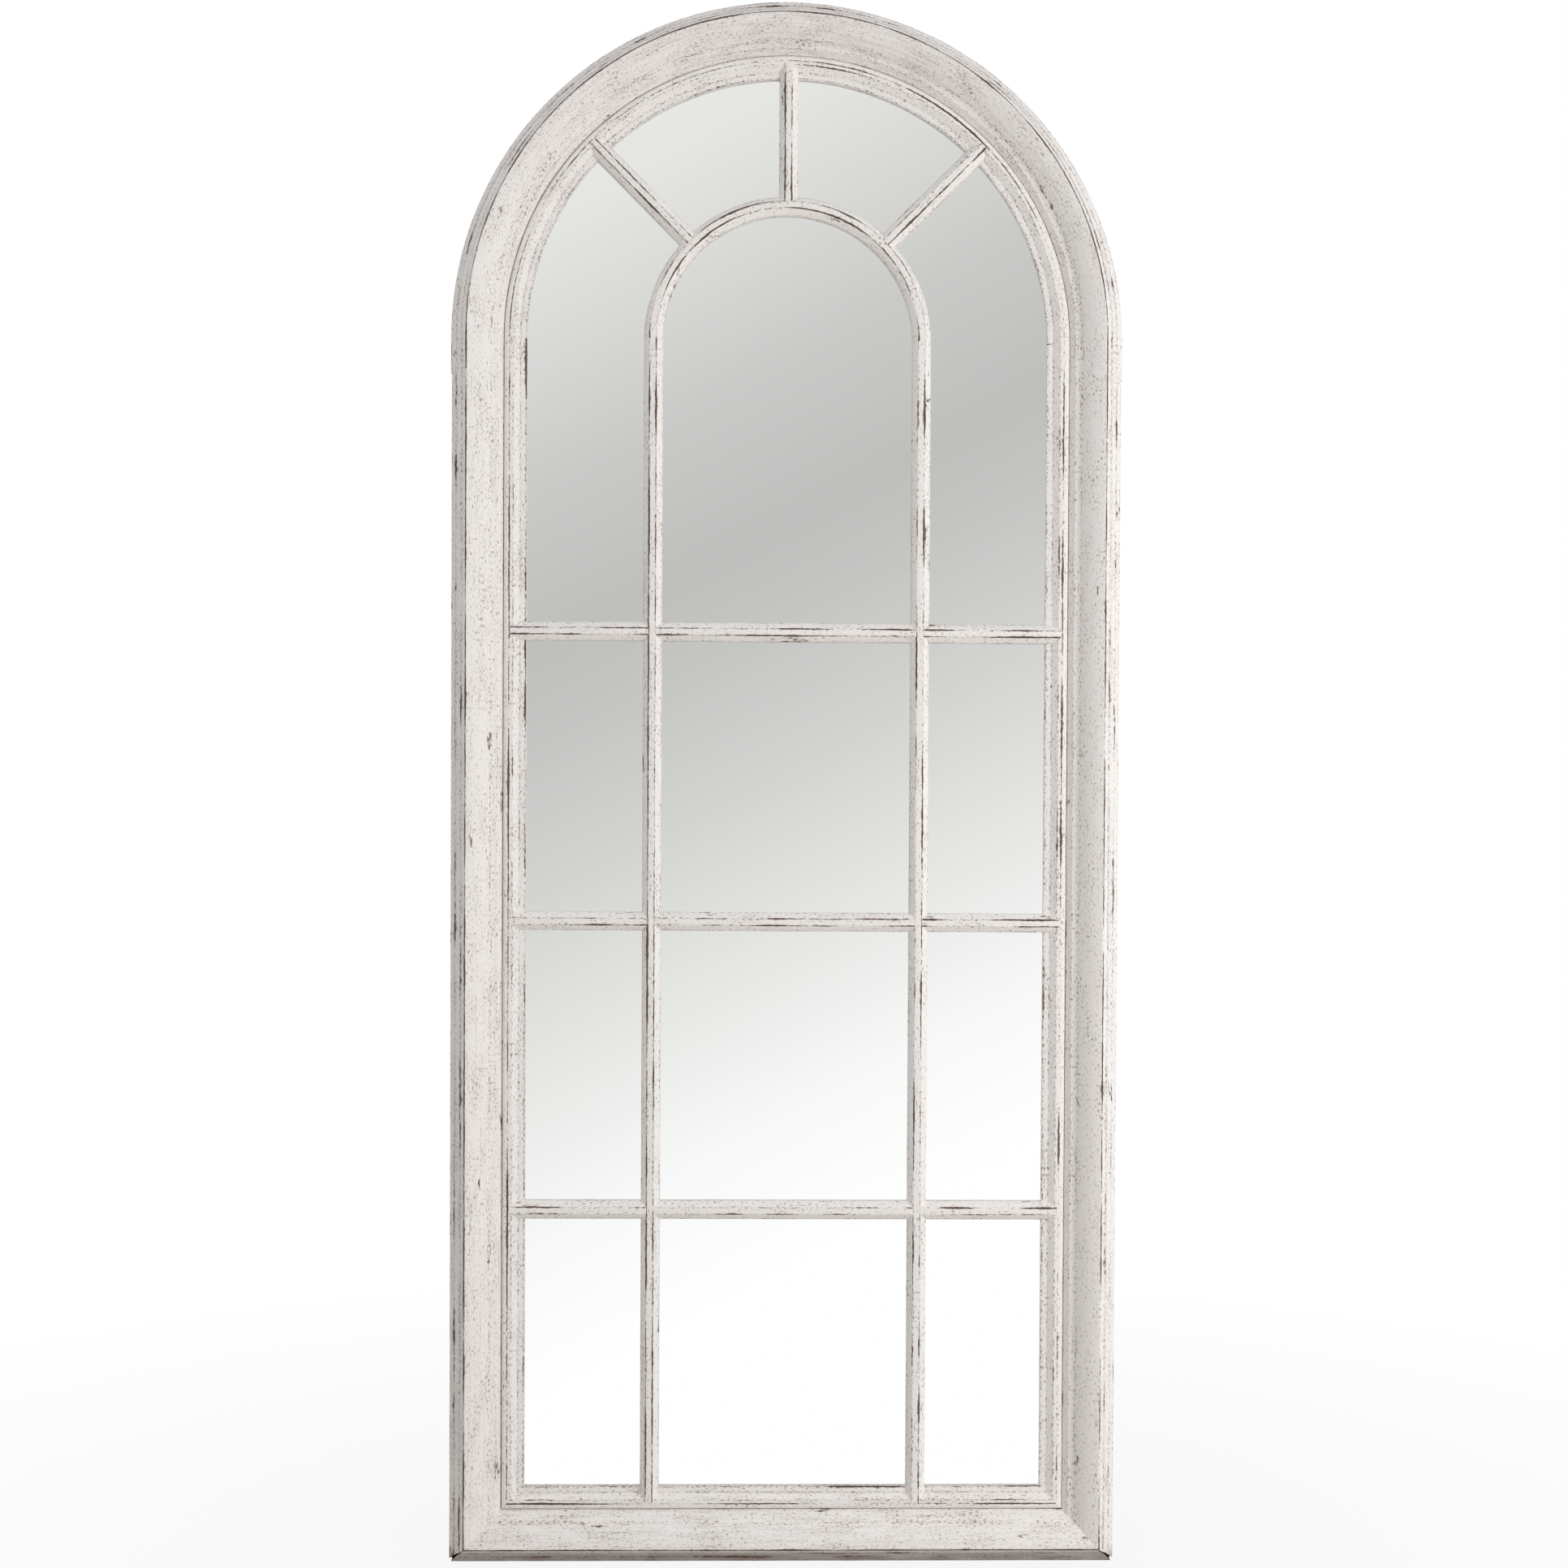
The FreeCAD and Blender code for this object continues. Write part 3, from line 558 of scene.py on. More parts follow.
    def _scuffed(self, tree: bpy.types.NodeTree) -> bpy.types.NodeSocket:
        """Darken the lowest edge, where it stands on the floor.

        Args:
            tree: the material's node tree.

        Returns:
            How much dirt there is, by the height above the floor.
        """
        where = node(tree, "ShaderNodeTexCoord").outputs["Object"]
        height = node(tree, "ShaderNodeSeparateXYZ", {"Vector": where}).outputs["Z"]
        return node(tree, "ShaderNodeMapRange", {
            "Value": height, "From Min": self.scuff_low, "From Max": self.scuff_high,
            "To Min": self.scuff, "To Max": 0.0}).outputs[0]


@dataclass(frozen=True)
class DarkEndGrain:
    """Stained end grain in a joint: nearly black, so an open mitre reads as a dark line."""

    name: str = "stained_end_grain"
    pores: float = 900.0  # per metre, 1.1 mm apart, drawn coarser than they are so that they show

    def build(self) -> bpy.types.Material:
        """Make the end-grain material.

        Returns:
            The material.
        """
        material, tree, out = blank_material(self.name)
        where = node(tree, "ShaderNodeTexCoord").outputs["Object"]
        pores = node(tree, "ShaderNodeTexNoise", {"Vector": where, "Scale": self.pores, "Detail": 2.0})
        tone = node(tree, "ShaderNodeMix", {
            FACTOR: pores.outputs[0], FIRST: colour("#17110C"), SECOND: colour("#3B2D20")}, data_type="RGBA")
        shader = node(tree, "ShaderNodeBsdfPrincipled", {
            "Base Color": tone.outputs[MIXED], "Roughness": 0.85})
        tree.links.new(shader.outputs[0], out.inputs[0])
        return material


@dataclass(frozen=True)
class SilveredGlass:
    """Silvered float glass: a clean mirror with the faint green of the glass."""

    name: str = "silvered_float_glass"
    haze: float = 9.0  # per metre: wiping marks 110 mm across

    def build(self) -> bpy.types.Material:
        """Make the mirror material.

        Returns:
            The material.
        """
        material, tree, out = blank_material(self.name)
        where = node(tree, "ShaderNodeTexCoord").outputs["Object"]
        haze = node(tree, "ShaderNodeTexNoise", {"Vector": where, "Scale": self.haze, "Detail": 3.0})
        rough = node(tree, "ShaderNodeMapRange", {
            "Value": haze.outputs[0], "From Min": 0.3, "From Max": 0.8, "To Min": 0.0, "To Max": 0.012})
        shader = node(tree, "ShaderNodeBsdfPrincipled", {
            "Base Color": colour("#FEFFFE"), "Metallic": 1.0, "Roughness": rough.outputs[0]})
        tree.links.new(shader.outputs[0], out.inputs[0])
        return material


@dataclass(frozen=True)
class Hardboard:
    """Pressed wood-fibre board: brown, with short darker fibres and a dull face."""

    name: str = "pressed_hardboard"
    fibres: float = 420.0  # per metre, 2.4 mm long, drawn coarser than they are so that they show
    clouds: float = 14.0  # per metre, 70 mm across, from the pressing

    def build(self) -> bpy.types.Material:
        """Make the hardboard material.

        Returns:
            The material.
        """
        material, tree, out = blank_material(self.name)
        where = node(tree, "ShaderNodeTexCoord").outputs["Object"]
        fibre = node(tree, "ShaderNodeTexNoise", {
            "Vector": where, "Scale": self.fibres, "Detail": 6.0, "Roughness": 0.7, "Distortion": 1.5})
        cloud = node(tree, "ShaderNodeTexNoise", {"Vector": where, "Scale": self.clouds, "Detail": 3.0})
        level = Mask(start=0.0, low=0.38, high=0.88).cut(
            tree, [(fibre.outputs[0], 1.0), (cloud.outputs[0], 0.25)])
        tone = node(tree, "ShaderNodeMix", {
            FACTOR: level, FIRST: colour("#6B4A30"), SECOND: colour("#A07A54")}, data_type="RGBA")
        bump = node(tree, "ShaderNodeBump", {
            "Strength": 0.3, "Distance": 0.0002, "Height": fibre.outputs[0]})
        shader = node(tree, "ShaderNodeBsdfPrincipled", {
            "Base Color": tone.outputs[MIXED], "Roughness": 0.62, "Normal": bump.outputs[0]})
        tree.links.new(shader.outputs[0], out.inputs[0])
        return material


@dataclass(frozen=True)
class PlainFinish:
    """A plain surface with a fine mottle, for small fittings."""

    name: str
    dark: str
    light: str
    grain: float  # marks per metre: 1 to 3 mm across, coarser than the real ones so that they show
    roughness: float
    metallic: float = 0.0
    duller: float = 0.08  # how much rougher the mottle makes it at most
    glossier: float = 0.06  # and how much smoother
    depth: float = 0.0001  # m, how deep the mottle is

    def build(self) -> bpy.types.Material:
        """Make the material.

        Returns:
            The material.
        """
        material, tree, out = blank_material(self.name)
        where = node(tree, "ShaderNodeTexCoord").outputs["Object"]
        mottle = node(tree, "ShaderNodeTexNoise", {"Vector": where, "Scale": self.grain, "Detail": 4.0})
        tone = node(tree, "ShaderNodeMix", {
            FACTOR: mottle.outputs[0], FIRST: colour(self.dark), SECOND: colour(self.light)},
            data_type="RGBA")
        rough = node(tree, "ShaderNodeMapRange", {
            "Value": mottle.outputs[0], "From Min": 0.2, "From Max": 0.8,
            "To Min": self.roughness - self.glossier, "To Max": self.roughness + self.duller})
        bump = node(tree, "ShaderNodeBump", {
            "Strength": 0.3, "Distance": self.depth, "Height": mottle.outputs[0]})
        shader = node(tree, "ShaderNodeBsdfPrincipled", {
            "Base Color": tone.outputs[MIXED], "Roughness": rough.outputs[0], "Metallic": self.metallic,
            "Normal": bump.outputs[0]})
        tree.links.new(shader.outputs[0], out.inputs[0])
        return material


# ---------------------------------------------------------------- wood


def finished(bm: bmesh.types.BMesh, name: str, *materials: bpy.types.Material) -> bpy.types.Object:
    """Turn a bmesh into an object of the scene.

    Args:
        bm: the mesh, which is freed.
        name: the object's name.
        *materials: its finishes, in the order of its faces' numbers.

    Returns:
        The new object.
    """
    mesh = bpy.data.meshes.new(name)
    bm.to_mesh(mesh)
    bm.free()
    for material in materials:
        mesh.materials.append(material)
    made = bpy.data.objects.new(name, mesh)
    bpy.context.scene.collection.objects.link(made)
    return made


@dataclass(frozen=True)
class Cut:
    """A saw cut: what lies on the side that away points to comes off. Lengths in mm on X and Z."""

    x: float
    z: float
    away: tuple[float, float]
    kind: End = End.BUTT


@dataclass(frozen=True)
class Run:
    """The path of a length of moulding, in mm on X and Z, seen from the front.

    inward is the way that the section's inset goes. A turn above or below 0 bends
    the run round centre after its straight part.
    """

    x: float
    z: float
    along: tuple[float, float]
    inward: tuple[float, float]
    length: float
    turn: float = 0.0  # degrees
    centre: tuple[float, float] = (0.0, SPRING)
    radius: float = HALF_WIDTH  # mm, of the line that the pattern is measured on


@dataclass
class Member:
    """One length of painted wood, which stands for a CAD node."""

    node_name: str
    section: Section
    run: Run
    cuts: tuple[Cut, ...]
    slot: Slot
    offset: float  # m, where the paint's pattern starts on this piece
    wear_and_shade: tuple[float, float] = (1.0, 1.0)  # how much it is rubbed at its foot and its head, which also thickens its glaze as painted shade
    sense: int = 1  # which way the pattern runs along the member
    step: float = 9.0  # mm between two cross sections
    shrink: float = 0.0  # mm that the outer face stands in

    def carve(self, paint: bpy.types.Material, joint: bpy.types.Material) -> None:
        """Carve the member and hand it over to its body.

        Args:
            paint: the finish of its faces.
            joint: the finish inside its open mitres.
        """
        bm = bmesh.new()
        self.section.draw(bm)
        self._stand(bm)
        self._sweep(bm)
        self._soften(bm)
        for cut in self.cuts:
            self._saw(bm, cut)
        bmesh.ops.recalc_face_normals(bm, faces=bm.faces[:])
        self._unroll(bm)
        self._grade_wear_and_shade(bm)
        made = finished(bm, self.node_name + "_wood", paint, joint)
        made.data.shade_smooth()
        made.data.set_sharp_from_angle(angle=math.radians(ARRIS_TURN))
        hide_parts(self.node_name)
        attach(made, "frame")
        LOG.info("%s: %d faces", made.name, len(made.data.polygons))

    def _stand(self, bm: bmesh.types.BMesh) -> None:
        """Stand the flat outline at the start of the run.

        Args:
            bm: the mesh with the outline.
        """
        run = self.run
        outer = [vert for vert in bm.verts if vert.co.x < OUTER_FACE * MM]
        bmesh.ops.translate(bm, vec=(self.shrink * MM, 0, 0), verts=outer)
        placed = Matrix((upright(run.inward), Vector((0, -1, 0)), upright(run.along))).transposed().to_4x4()
        placed.translation = upright((run.x, run.z), BACK_FACE) * MM
        bmesh.ops.transform(bm, matrix=placed, verts=bm.verts[:])

    def _sweep(self, bm: bmesh.types.BMesh) -> None:
        """Draw the outline out along the run.

        Args:
            bm: the mesh with the standing outline.
        """
        run = self.run
        last = bm.edges[:]
        if run.length > 0:
            steps = max(1, round(run.length / self.step))
            shift = upright(run.along) * run.length * MM / steps
            made = bmesh.ops.spin(bm, geom=last, cent=(0, 0, 0), axis=(0, 1, 0), dvec=shift, angle=0,
                                  steps=steps)
            last = [piece for piece in made["geom_last"] if isinstance(piece, bmesh.types.BMEdge)]
        if run.turn:
            steps = max(BEND_STEPS, round(math.radians(abs(run.turn)) * run.radius / self.step))
            bmesh.ops.spin(bm, geom=last, cent=upright(run.centre) * MM, axis=(0, 1, 0),
                           angle=math.radians(run.turn), steps=steps)

    def _saw(self, bm: bmesh.types.BMesh, cut: Cut) -> None:
        """Cut an end and close it.

        Args:
            bm: the swept mesh.
            cut: where and which way.
        """
        where, away = upright((cut.x, cut.z)) * MM, upright(cut.away).normalized()
        bmesh.ops.bisect_plane(bm, geom=bm.verts[:] + bm.edges[:] + bm.faces[:], dist=TINY, plane_co=where,
                               plane_no=away, clear_outer=True)
        rim = [edge for edge in bm.edges if len(edge.link_faces) == 1 and all(
            abs((vert.co - where).dot(away)) < 10 * TINY for vert in edge.verts)]
        closed = bmesh.ops.holes_fill(bm, edges=rim, sides=0)
        for face in closed["faces"]:
            face.material_index = 1 if cut.kind is End.OPEN_MITRE else 0

    def _unroll(self, bm: bmesh.types.BMesh) -> None:
        """Lay the run's own UV map: metres along the member and across its section.

        Args:
            bm: the closed mesh.
        """
        across = bm.verts.layers.float["across"]
        layer = bm.loops.layers.uv.new("run")
        whole = max(vert[across] for vert in bm.verts)
        total = self.section.stations()[1] * MM
        run = self.run
        along, inward = upright(run.along), upright(run.inward)
        start, centre = upright((run.x, run.z)) * MM, upright(run.centre) * MM
        begin = start + along * run.length * MM - centre
        for face in bm.faces:
            marks = [loop.vert[across] for loop in face.loops]
            wraps = max(marks) - min(marks) > whole * WRAP
            for loop in face.loops:
                spot = loop.vert.co
                reach = (spot - start).dot(along)
                if run.turn and reach > run.length * MM - TINY:
                    arm = spot - centre
                    bend = math.atan2(begin.x * arm.z - begin.z * arm.x,
                                      begin.x * arm.x + begin.z * arm.z)
                    reach = run.length * MM + abs(bend) * run.radius * MM
                mark = loop.vert[across]
                if wraps and not run.turn:
                    mark = total - (spot - start).dot(inward) + self.section.corners[0].inset * MM
                elif wraps and mark < whole * WRAP:
                    mark = total
                loop[layer].uv = (self.offset + self.sense * reach, mark)

    @staticmethod
    def _inside_out(bm: bmesh.types.BMesh) -> bool:
        """Tell whether an open tube's faces point inward, by its foremost one."""
        front = min(bm.faces, key=lambda face: face.calc_center_median().y)
        return front.normal.y > 0

    def _grade_wear_and_shade(self, bm: bmesh.types.BMesh) -> None:
        """Write how much the member is rubbed and its glaze thickened, from its foot to its head; the thicker
        glaze is partly painted shade.

        Args:
            bm: the closed mesh.
        """
        layer = bm.verts.layers.float.new("wear_and_shade")
        heights = [vert.co.z for vert in bm.verts]
        foot, head = min(heights), max(heights)
        for vert in bm.verts:
            share = (vert.co.z - foot) / (head - foot)
            vert[layer] = self.wear_and_shade[0] + (self.wear_and_shade[1] - self.wear_and_shade[0]) * share

    def _soften(self, bm: bmesh.types.BMesh) -> None:
        """Wear the wood a little unevenly, always inward.

        Args:
            bm: the swept mesh, before its ends are cut and closed.
        """
        bmesh.ops.recalc_face_normals(bm, faces=bm.faces[:])
        bm.normal_update()
        if self._inside_out(bm):
            bmesh.ops.reverse_faces(bm, faces=bm.faces[:])
            bm.normal_update()
        for vert in bm.verts:
            if vert.co.y > (BACK_FACE - TRUE_BACK) * MM:
                continue
            depth = sum(half * (noise.noise(vert.co * often) + 1) for often, half in WAVES)
            vert.co -= vert.normal * depth * MM


@dataclass
class MouldedFrame:
    """The outer moulding: a bottom rail, two stiles and the two halves of the arch."""

    head_joint: float = 1242.0  # mm, where a stile meets the arch head
    band: float = 54.9  # mm, from the outer edge to the lip
    ridge: float = 21.0  # mm, from the outer edge to where the bottom mitres begin to open
    gap: float = 4.0  # mm, how far they open at the outer corner
    step_in: float = 0.8  # mm, how far a stile's face stands in from the arch head's
    spare: float = 20.0  # mm that a run goes on past its saw cuts

    @property
    def crown(self) -> float:
        """Metres from the start of a head's run to the crown, where the two patterns meet."""
        return (SPRING - self.head_joint + self.spare + math.pi / 2 * HALF_WIDTH) * MM

    def members(self) -> list[Member]:
        """List the moulding's five lengths.

        Returns:
            The members, ready to carve.
        """
        corner, ridge = HALF_WIDTH - self.band, HALF_WIDTH - self.ridge
        lean = self.gap / 2 / (self.ridge * math.sqrt(2))  # how far a mitre's outer end is out of true
        out = []
        # these wear numbers also thicken the glaze: higher on the left, as painted shade on the side away
        # from the light, and at the left stile's foot, as painted shade near the floor
        for (side, name), wear_and_shade in zip(SIDES, ((1.25, 1.05), (0.85, 1.0))):
            stile = Run(side * HALF_WIDTH, -self.spare, (0, 1), (-side, 0), self.head_joint + 2 * self.spare)
            out.append(Member(name + "_stile", MOULDING, stile, (
                Cut(side * corner, self.band, (-side, -1), End.OPEN_MITRE),
                Cut(side * ridge, self.ridge, (-side * (1 - lean), -(1 + lean)), End.OPEN_MITRE),
                Cut(0, self.head_joint, (0, 1)),
            ), Slot.FRAME, offset=3.0 + side, wear_and_shade=wear_and_shade, shrink=self.step_in))
            # the heads' glaze thickens towards the crown: wear, and painted shade under the arch's
            # downward-facing top
            head = Run(side * HALF_WIDTH, self.head_joint - self.spare, (0, 1), (-side, 0),
                       SPRING - self.head_joint + self.spare, turn=-side * (90 + PAST_BEND))
            out.append(Member("arch_head_" + name, MOULDING, head, (
                Cut(0, self.head_joint, (0, -1)),
                Cut(0, 0, (-side, 0)),
            ), Slot.FRAME, offset=8.0 + side * self.crown, wear_and_shade=(1.0, 1.45), sense=-side))
        # the rail's high wear numbers also thicken its glaze, partly as painted shade on the horizontal
        # member
        rail = Run(-HALF_WIDTH - self.spare, 0, (1, 0), (0, 1), 2 * HALF_WIDTH + 2 * self.spare)
        cuts = [cut for side in (-1, 1) for cut in (
            Cut(side * corner, self.band, (side, 1), End.OPEN_MITRE),
            Cut(side * ridge, self.ridge, (side * (1 + lean), 1 - lean), End.OPEN_MITRE))]
        out.append(Member("bottom_rail", MOULDING, rail, tuple(cuts), Slot.FRAME, offset=12.0,
                          wear_and_shade=(1.5, 1.2)))
        return out


@dataclass
class MitrePacking:
    """Dark filler deep in the two open mitres, so that no light comes through them."""

    near: float = 3.0  # mm, from the frame's outer edges
    far: float = 22.0  # mm
    width: float = 4.6  # mm
    depth: float = 11.0  # mm, from front to back
    behind: float = 1.0  # mm, from the frame's back

    def carve(self, joint: bpy.types.Material) -> None:
        """Put both fillers in their places.

        Args:
            joint: the filler's finish.
        """
        middle = (self.near + self.far) / 2
        length = (self.far - self.near) * math.sqrt(2)
        level = BACK_FACE - self.behind - self.depth / 2
        for side, name in SIDES:
            bm = bmesh.new()
            bmesh.ops.create_cube(bm, size=MM)
            bmesh.ops.scale(bm, vec=(length, self.depth, self.width), verts=bm.verts[:])
            bmesh.ops.rotate(bm, matrix=Matrix.Rotation(math.radians(side * 45), 3, "Y"), verts=bm.verts[:])
            place = upright((side * (HALF_WIDTH - middle), middle), level) * MM
            bmesh.ops.translate(bm, vec=place, verts=bm.verts[:])
            made = finished(bm, "mitre_packing_" + name, joint)
            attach(made, "frame")


@dataclass
class Sash:
    """The thin inner frame that carries the mirror: rail, stiles and arch, mitred below."""

    inner: float = 78.5  # mm, from the outer edge to the sight edge
    spare: float = 10.0  # mm that an arch's run starts before its saw cut
    stile_foot: float = 20.0  # mm, the height where the stiles' runs start, below their mitres
    gape: float = 0.2  # slope of the opened joint at the right spring line
    gape_root: float = 7.0  # mm, from the sight edge, where that joint is still closed

    def members(self) -> list[Member]:
        """List the sash's five lengths.

        Returns:
            The members, ready to carve.
        """
        out = []
        corner = HALF_WIDTH - self.inner
        crown = (self.spare + math.pi / 2 * HALF_WIDTH) * MM
        # these wear numbers also set the glaze: thinner on the right as painted light on the lit side,
        # thicker on the left as painted shade
        for (side, name), wear_and_shade in zip(SIDES, ((1.05, 1.0), (0.65, 0.9))):
            stile = Run(side * HALF_WIDTH, self.stile_foot, (0, 1), (-side, 0), SPRING)
            cuts = [Cut(side * corner, self.inner, (-side, -1), End.OPEN_MITRE), Cut(0, SPRING, (0, 1))]
            if side > 0:  # this joint has opened at the sight edge
                cuts.append(Cut(corner + self.gape_root, SPRING, (-self.gape, 1), End.OPEN_MITRE))
            out.append(Member("sash_stile_" + name, SASH, stile, tuple(cuts), Slot.SASH,
                              offset=16.0 + side, wear_and_shade=wear_and_shade))
            arch = Run(side * HALF_WIDTH, SPRING - self.spare, (0, 1), (-side, 0), self.spare,
                       turn=-side * (90 + PAST_BEND))
            out.append(Member("sash_arch_" + name, SASH, arch, (
                Cut(0, SPRING, (0, -1)),
                Cut(0, 0, (-side, 0)),
            ), Slot.SASH, offset=20.0 + side * crown, sense=-side))
        # the rail's high wear numbers also thicken its glaze, partly as painted shade
        rail = Run(-HALF_WIDTH, 0, (1, 0), (0, 1), 2 * HALF_WIDTH)
        out.append(Member("sash_bottom_rail", SASH, rail, (
            Cut(-corner, self.inner, (-1, 1), End.OPEN_MITRE),
            Cut(corner, self.inner, (1, 1), End.OPEN_MITRE),
        ), Slot.SASH, offset=24.0, wear_and_shade=(1.15, 1.15)))
        return out


@dataclass
class GlazingBars:
    """The bars over the mirror: two mullions, nine transoms, an inner arch and three spokes."""

    mullion: float = 140.0  # mm from the middle, and the inner arch's radius
    lap: float = 62.5  # mm, how far in from the outer edge a bar's end lies on the sash
    flat: float = 4.0  # mm, half the bar's flat
    spare: float = 5.0  # mm that a short bar's run goes on past its saw cuts
    long_spare: float = 10.0  # mm, the same for a mullion
    heights: dict[str, float] = field(default_factory=lambda: {"low": 370.0, "mid": 673.0, "high": 976.0})
    angles: dict[str, float] = field(default_factory=lambda: {"left": 135.0, "centre": 90.0, "right": 45.0})

    def members(self) -> list[Member]:
        """List the fifteen bars.

        Returns:
            The members, ready to carve.
        """
        out = []
        # these wear numbers also set the glaze: thicker on the left, as painted shade on the side away from
        # the light
        for (side, name), wear_and_shade in zip(SIDES, ((1.05, 1.0), (0.8, 0.85))):
            run = Run(side * self.mullion, self.lap - self.long_spare, (0, 1), (1, 0),
                      SPRING - self.lap + 2 * self.long_spare)
            out.append(Member("mullion_" + name, BAR, run, (
                Cut(0, self.lap, (0, -1)), Cut(0, SPRING, (0, 1))), Slot.BARS, offset=28.0 + side, wear_and_shade=wear_and_shade))
        edge = HALF_WIDTH - self.lap
        spans = {"left": (-edge, -self.mullion - self.flat), "right": (self.mullion + self.flat, edge),
                 "centre": (self.flat - self.mullion, self.mullion - self.flat)}
        for row, (level, height) in enumerate(self.heights.items()):
            for column, (place, (low, high)) in enumerate(spans.items()):
                run = Run(low - self.spare, height, (1, 0), (0, 1), high - low + 2 * self.spare)
                out.append(Member(f"transom_{level}_{place}", BAR, run, (
                    Cut(low, 0, (-1, 0)), Cut(high, 0, (1, 0))), Slot.BARS,
                    offset=32.0 + row * 2 + column * 0.6, wear_and_shade=(0.75 + row * 0.15, 0.65 + row * 0.15)))
        arch = Run(-self.mullion, SPRING - self.spare, (0, 1), (1, 0), self.spare,
                   turn=180 + PAST_BEND, radius=self.mullion)
        out.append(Member("inner_arch", BAR, arch, (
            Cut(0, SPRING, (0, -1)),), Slot.BARS, offset=40.0, step=4.0))
        near, far = self.mullion + self.flat, edge
        for count, (place, angle) in enumerate(self.angles.items()):
            way = (math.cos(math.radians(angle)), math.sin(math.radians(angle)))
            begin = near - self.spare
            run = Run(way[0] * begin, SPRING + way[1] * begin, way, (way[1], -way[0]),
                      far - near + 2 * self.spare)
            out.append(Member("spoke_" + place, BAR, run, (
                Cut(way[0] * near, SPRING + way[1] * near, (-way[0], -way[1])),
                Cut(way[0] * far, SPRING + way[1] * far, way)), Slot.BARS, offset=44.0 + count))
        return out


# ---------------------------------------------------------------- glass and back


@dataclass
class Fittings:
    """The nodes that keep their CAD shape: glass, board, dowels, screws, hangers, rings and bumpers."""

    finishes: dict[Slot, Finish] = field(default_factory=lambda: {
        Slot.MIRROR: SilveredGlass(),
        Slot.BOARD: Hardboard(),
        # turned beech: pale warm wood with a fine fleck
        Slot.DOWEL: PlainFinish("beech_dowel_wood", "#B98F62", "#D9B98C", 300.0, 0.6),
        # screws plated with zinc and passivated: a soft yellowish metal gloss
        Slot.SCREW: PlainFinish("yellow_zinc_plate", "#9C8F6A", "#CDBF92", 900.0, 0.34, metallic=1.0),
        # pressed steel and wire plated with bright zinc: light grey metal, faintly clouded
        Slot.HANGER: PlainFinish("bright_zinc_plate", "#A9ABAE", "#CFD1D3", 700.0, 0.32, metallic=1.0),
        # moulded rubber: dull black
        Slot.RUBBER: PlainFinish("moulded_black_rubber", "#1B1B1C", "#2A2A2B", 500.0, 0.7),
    })
    nodes: dict[Slot, tuple[str, ...]] = field(default_factory=lambda: {
        Slot.MIRROR: ("mirror_glass",),
        Slot.BOARD: ("backing_board",),
        Slot.DOWEL: ("frame_dowels",),
        Slot.SCREW: ("sash_screws", "board_screws", "hanger_screws"),
        Slot.HANGER: ("hanger_left", "hanger_right", "ring_left", "ring_right"),
        Slot.RUBBER: ("bumper_left", "bumper_right"),
    })

    def dress(self) -> None:
        """Give each kept node its finish."""
        for slot, names in self.nodes.items():
            material = self.finishes[slot].build()
            for name in names:
                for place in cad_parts[name].material_slots:
                    place.material = material
                LOG.info("%s: %s", name, material.name)


# ---------------------------------------------------------------- studio


@dataclass(frozen=True)
class Lamp:
    """A square soft lamp that is turned to the mirror's middle."""

    name: str
    place: tuple[float, float, float]  # m
    size: float  # m
    power: float  # W


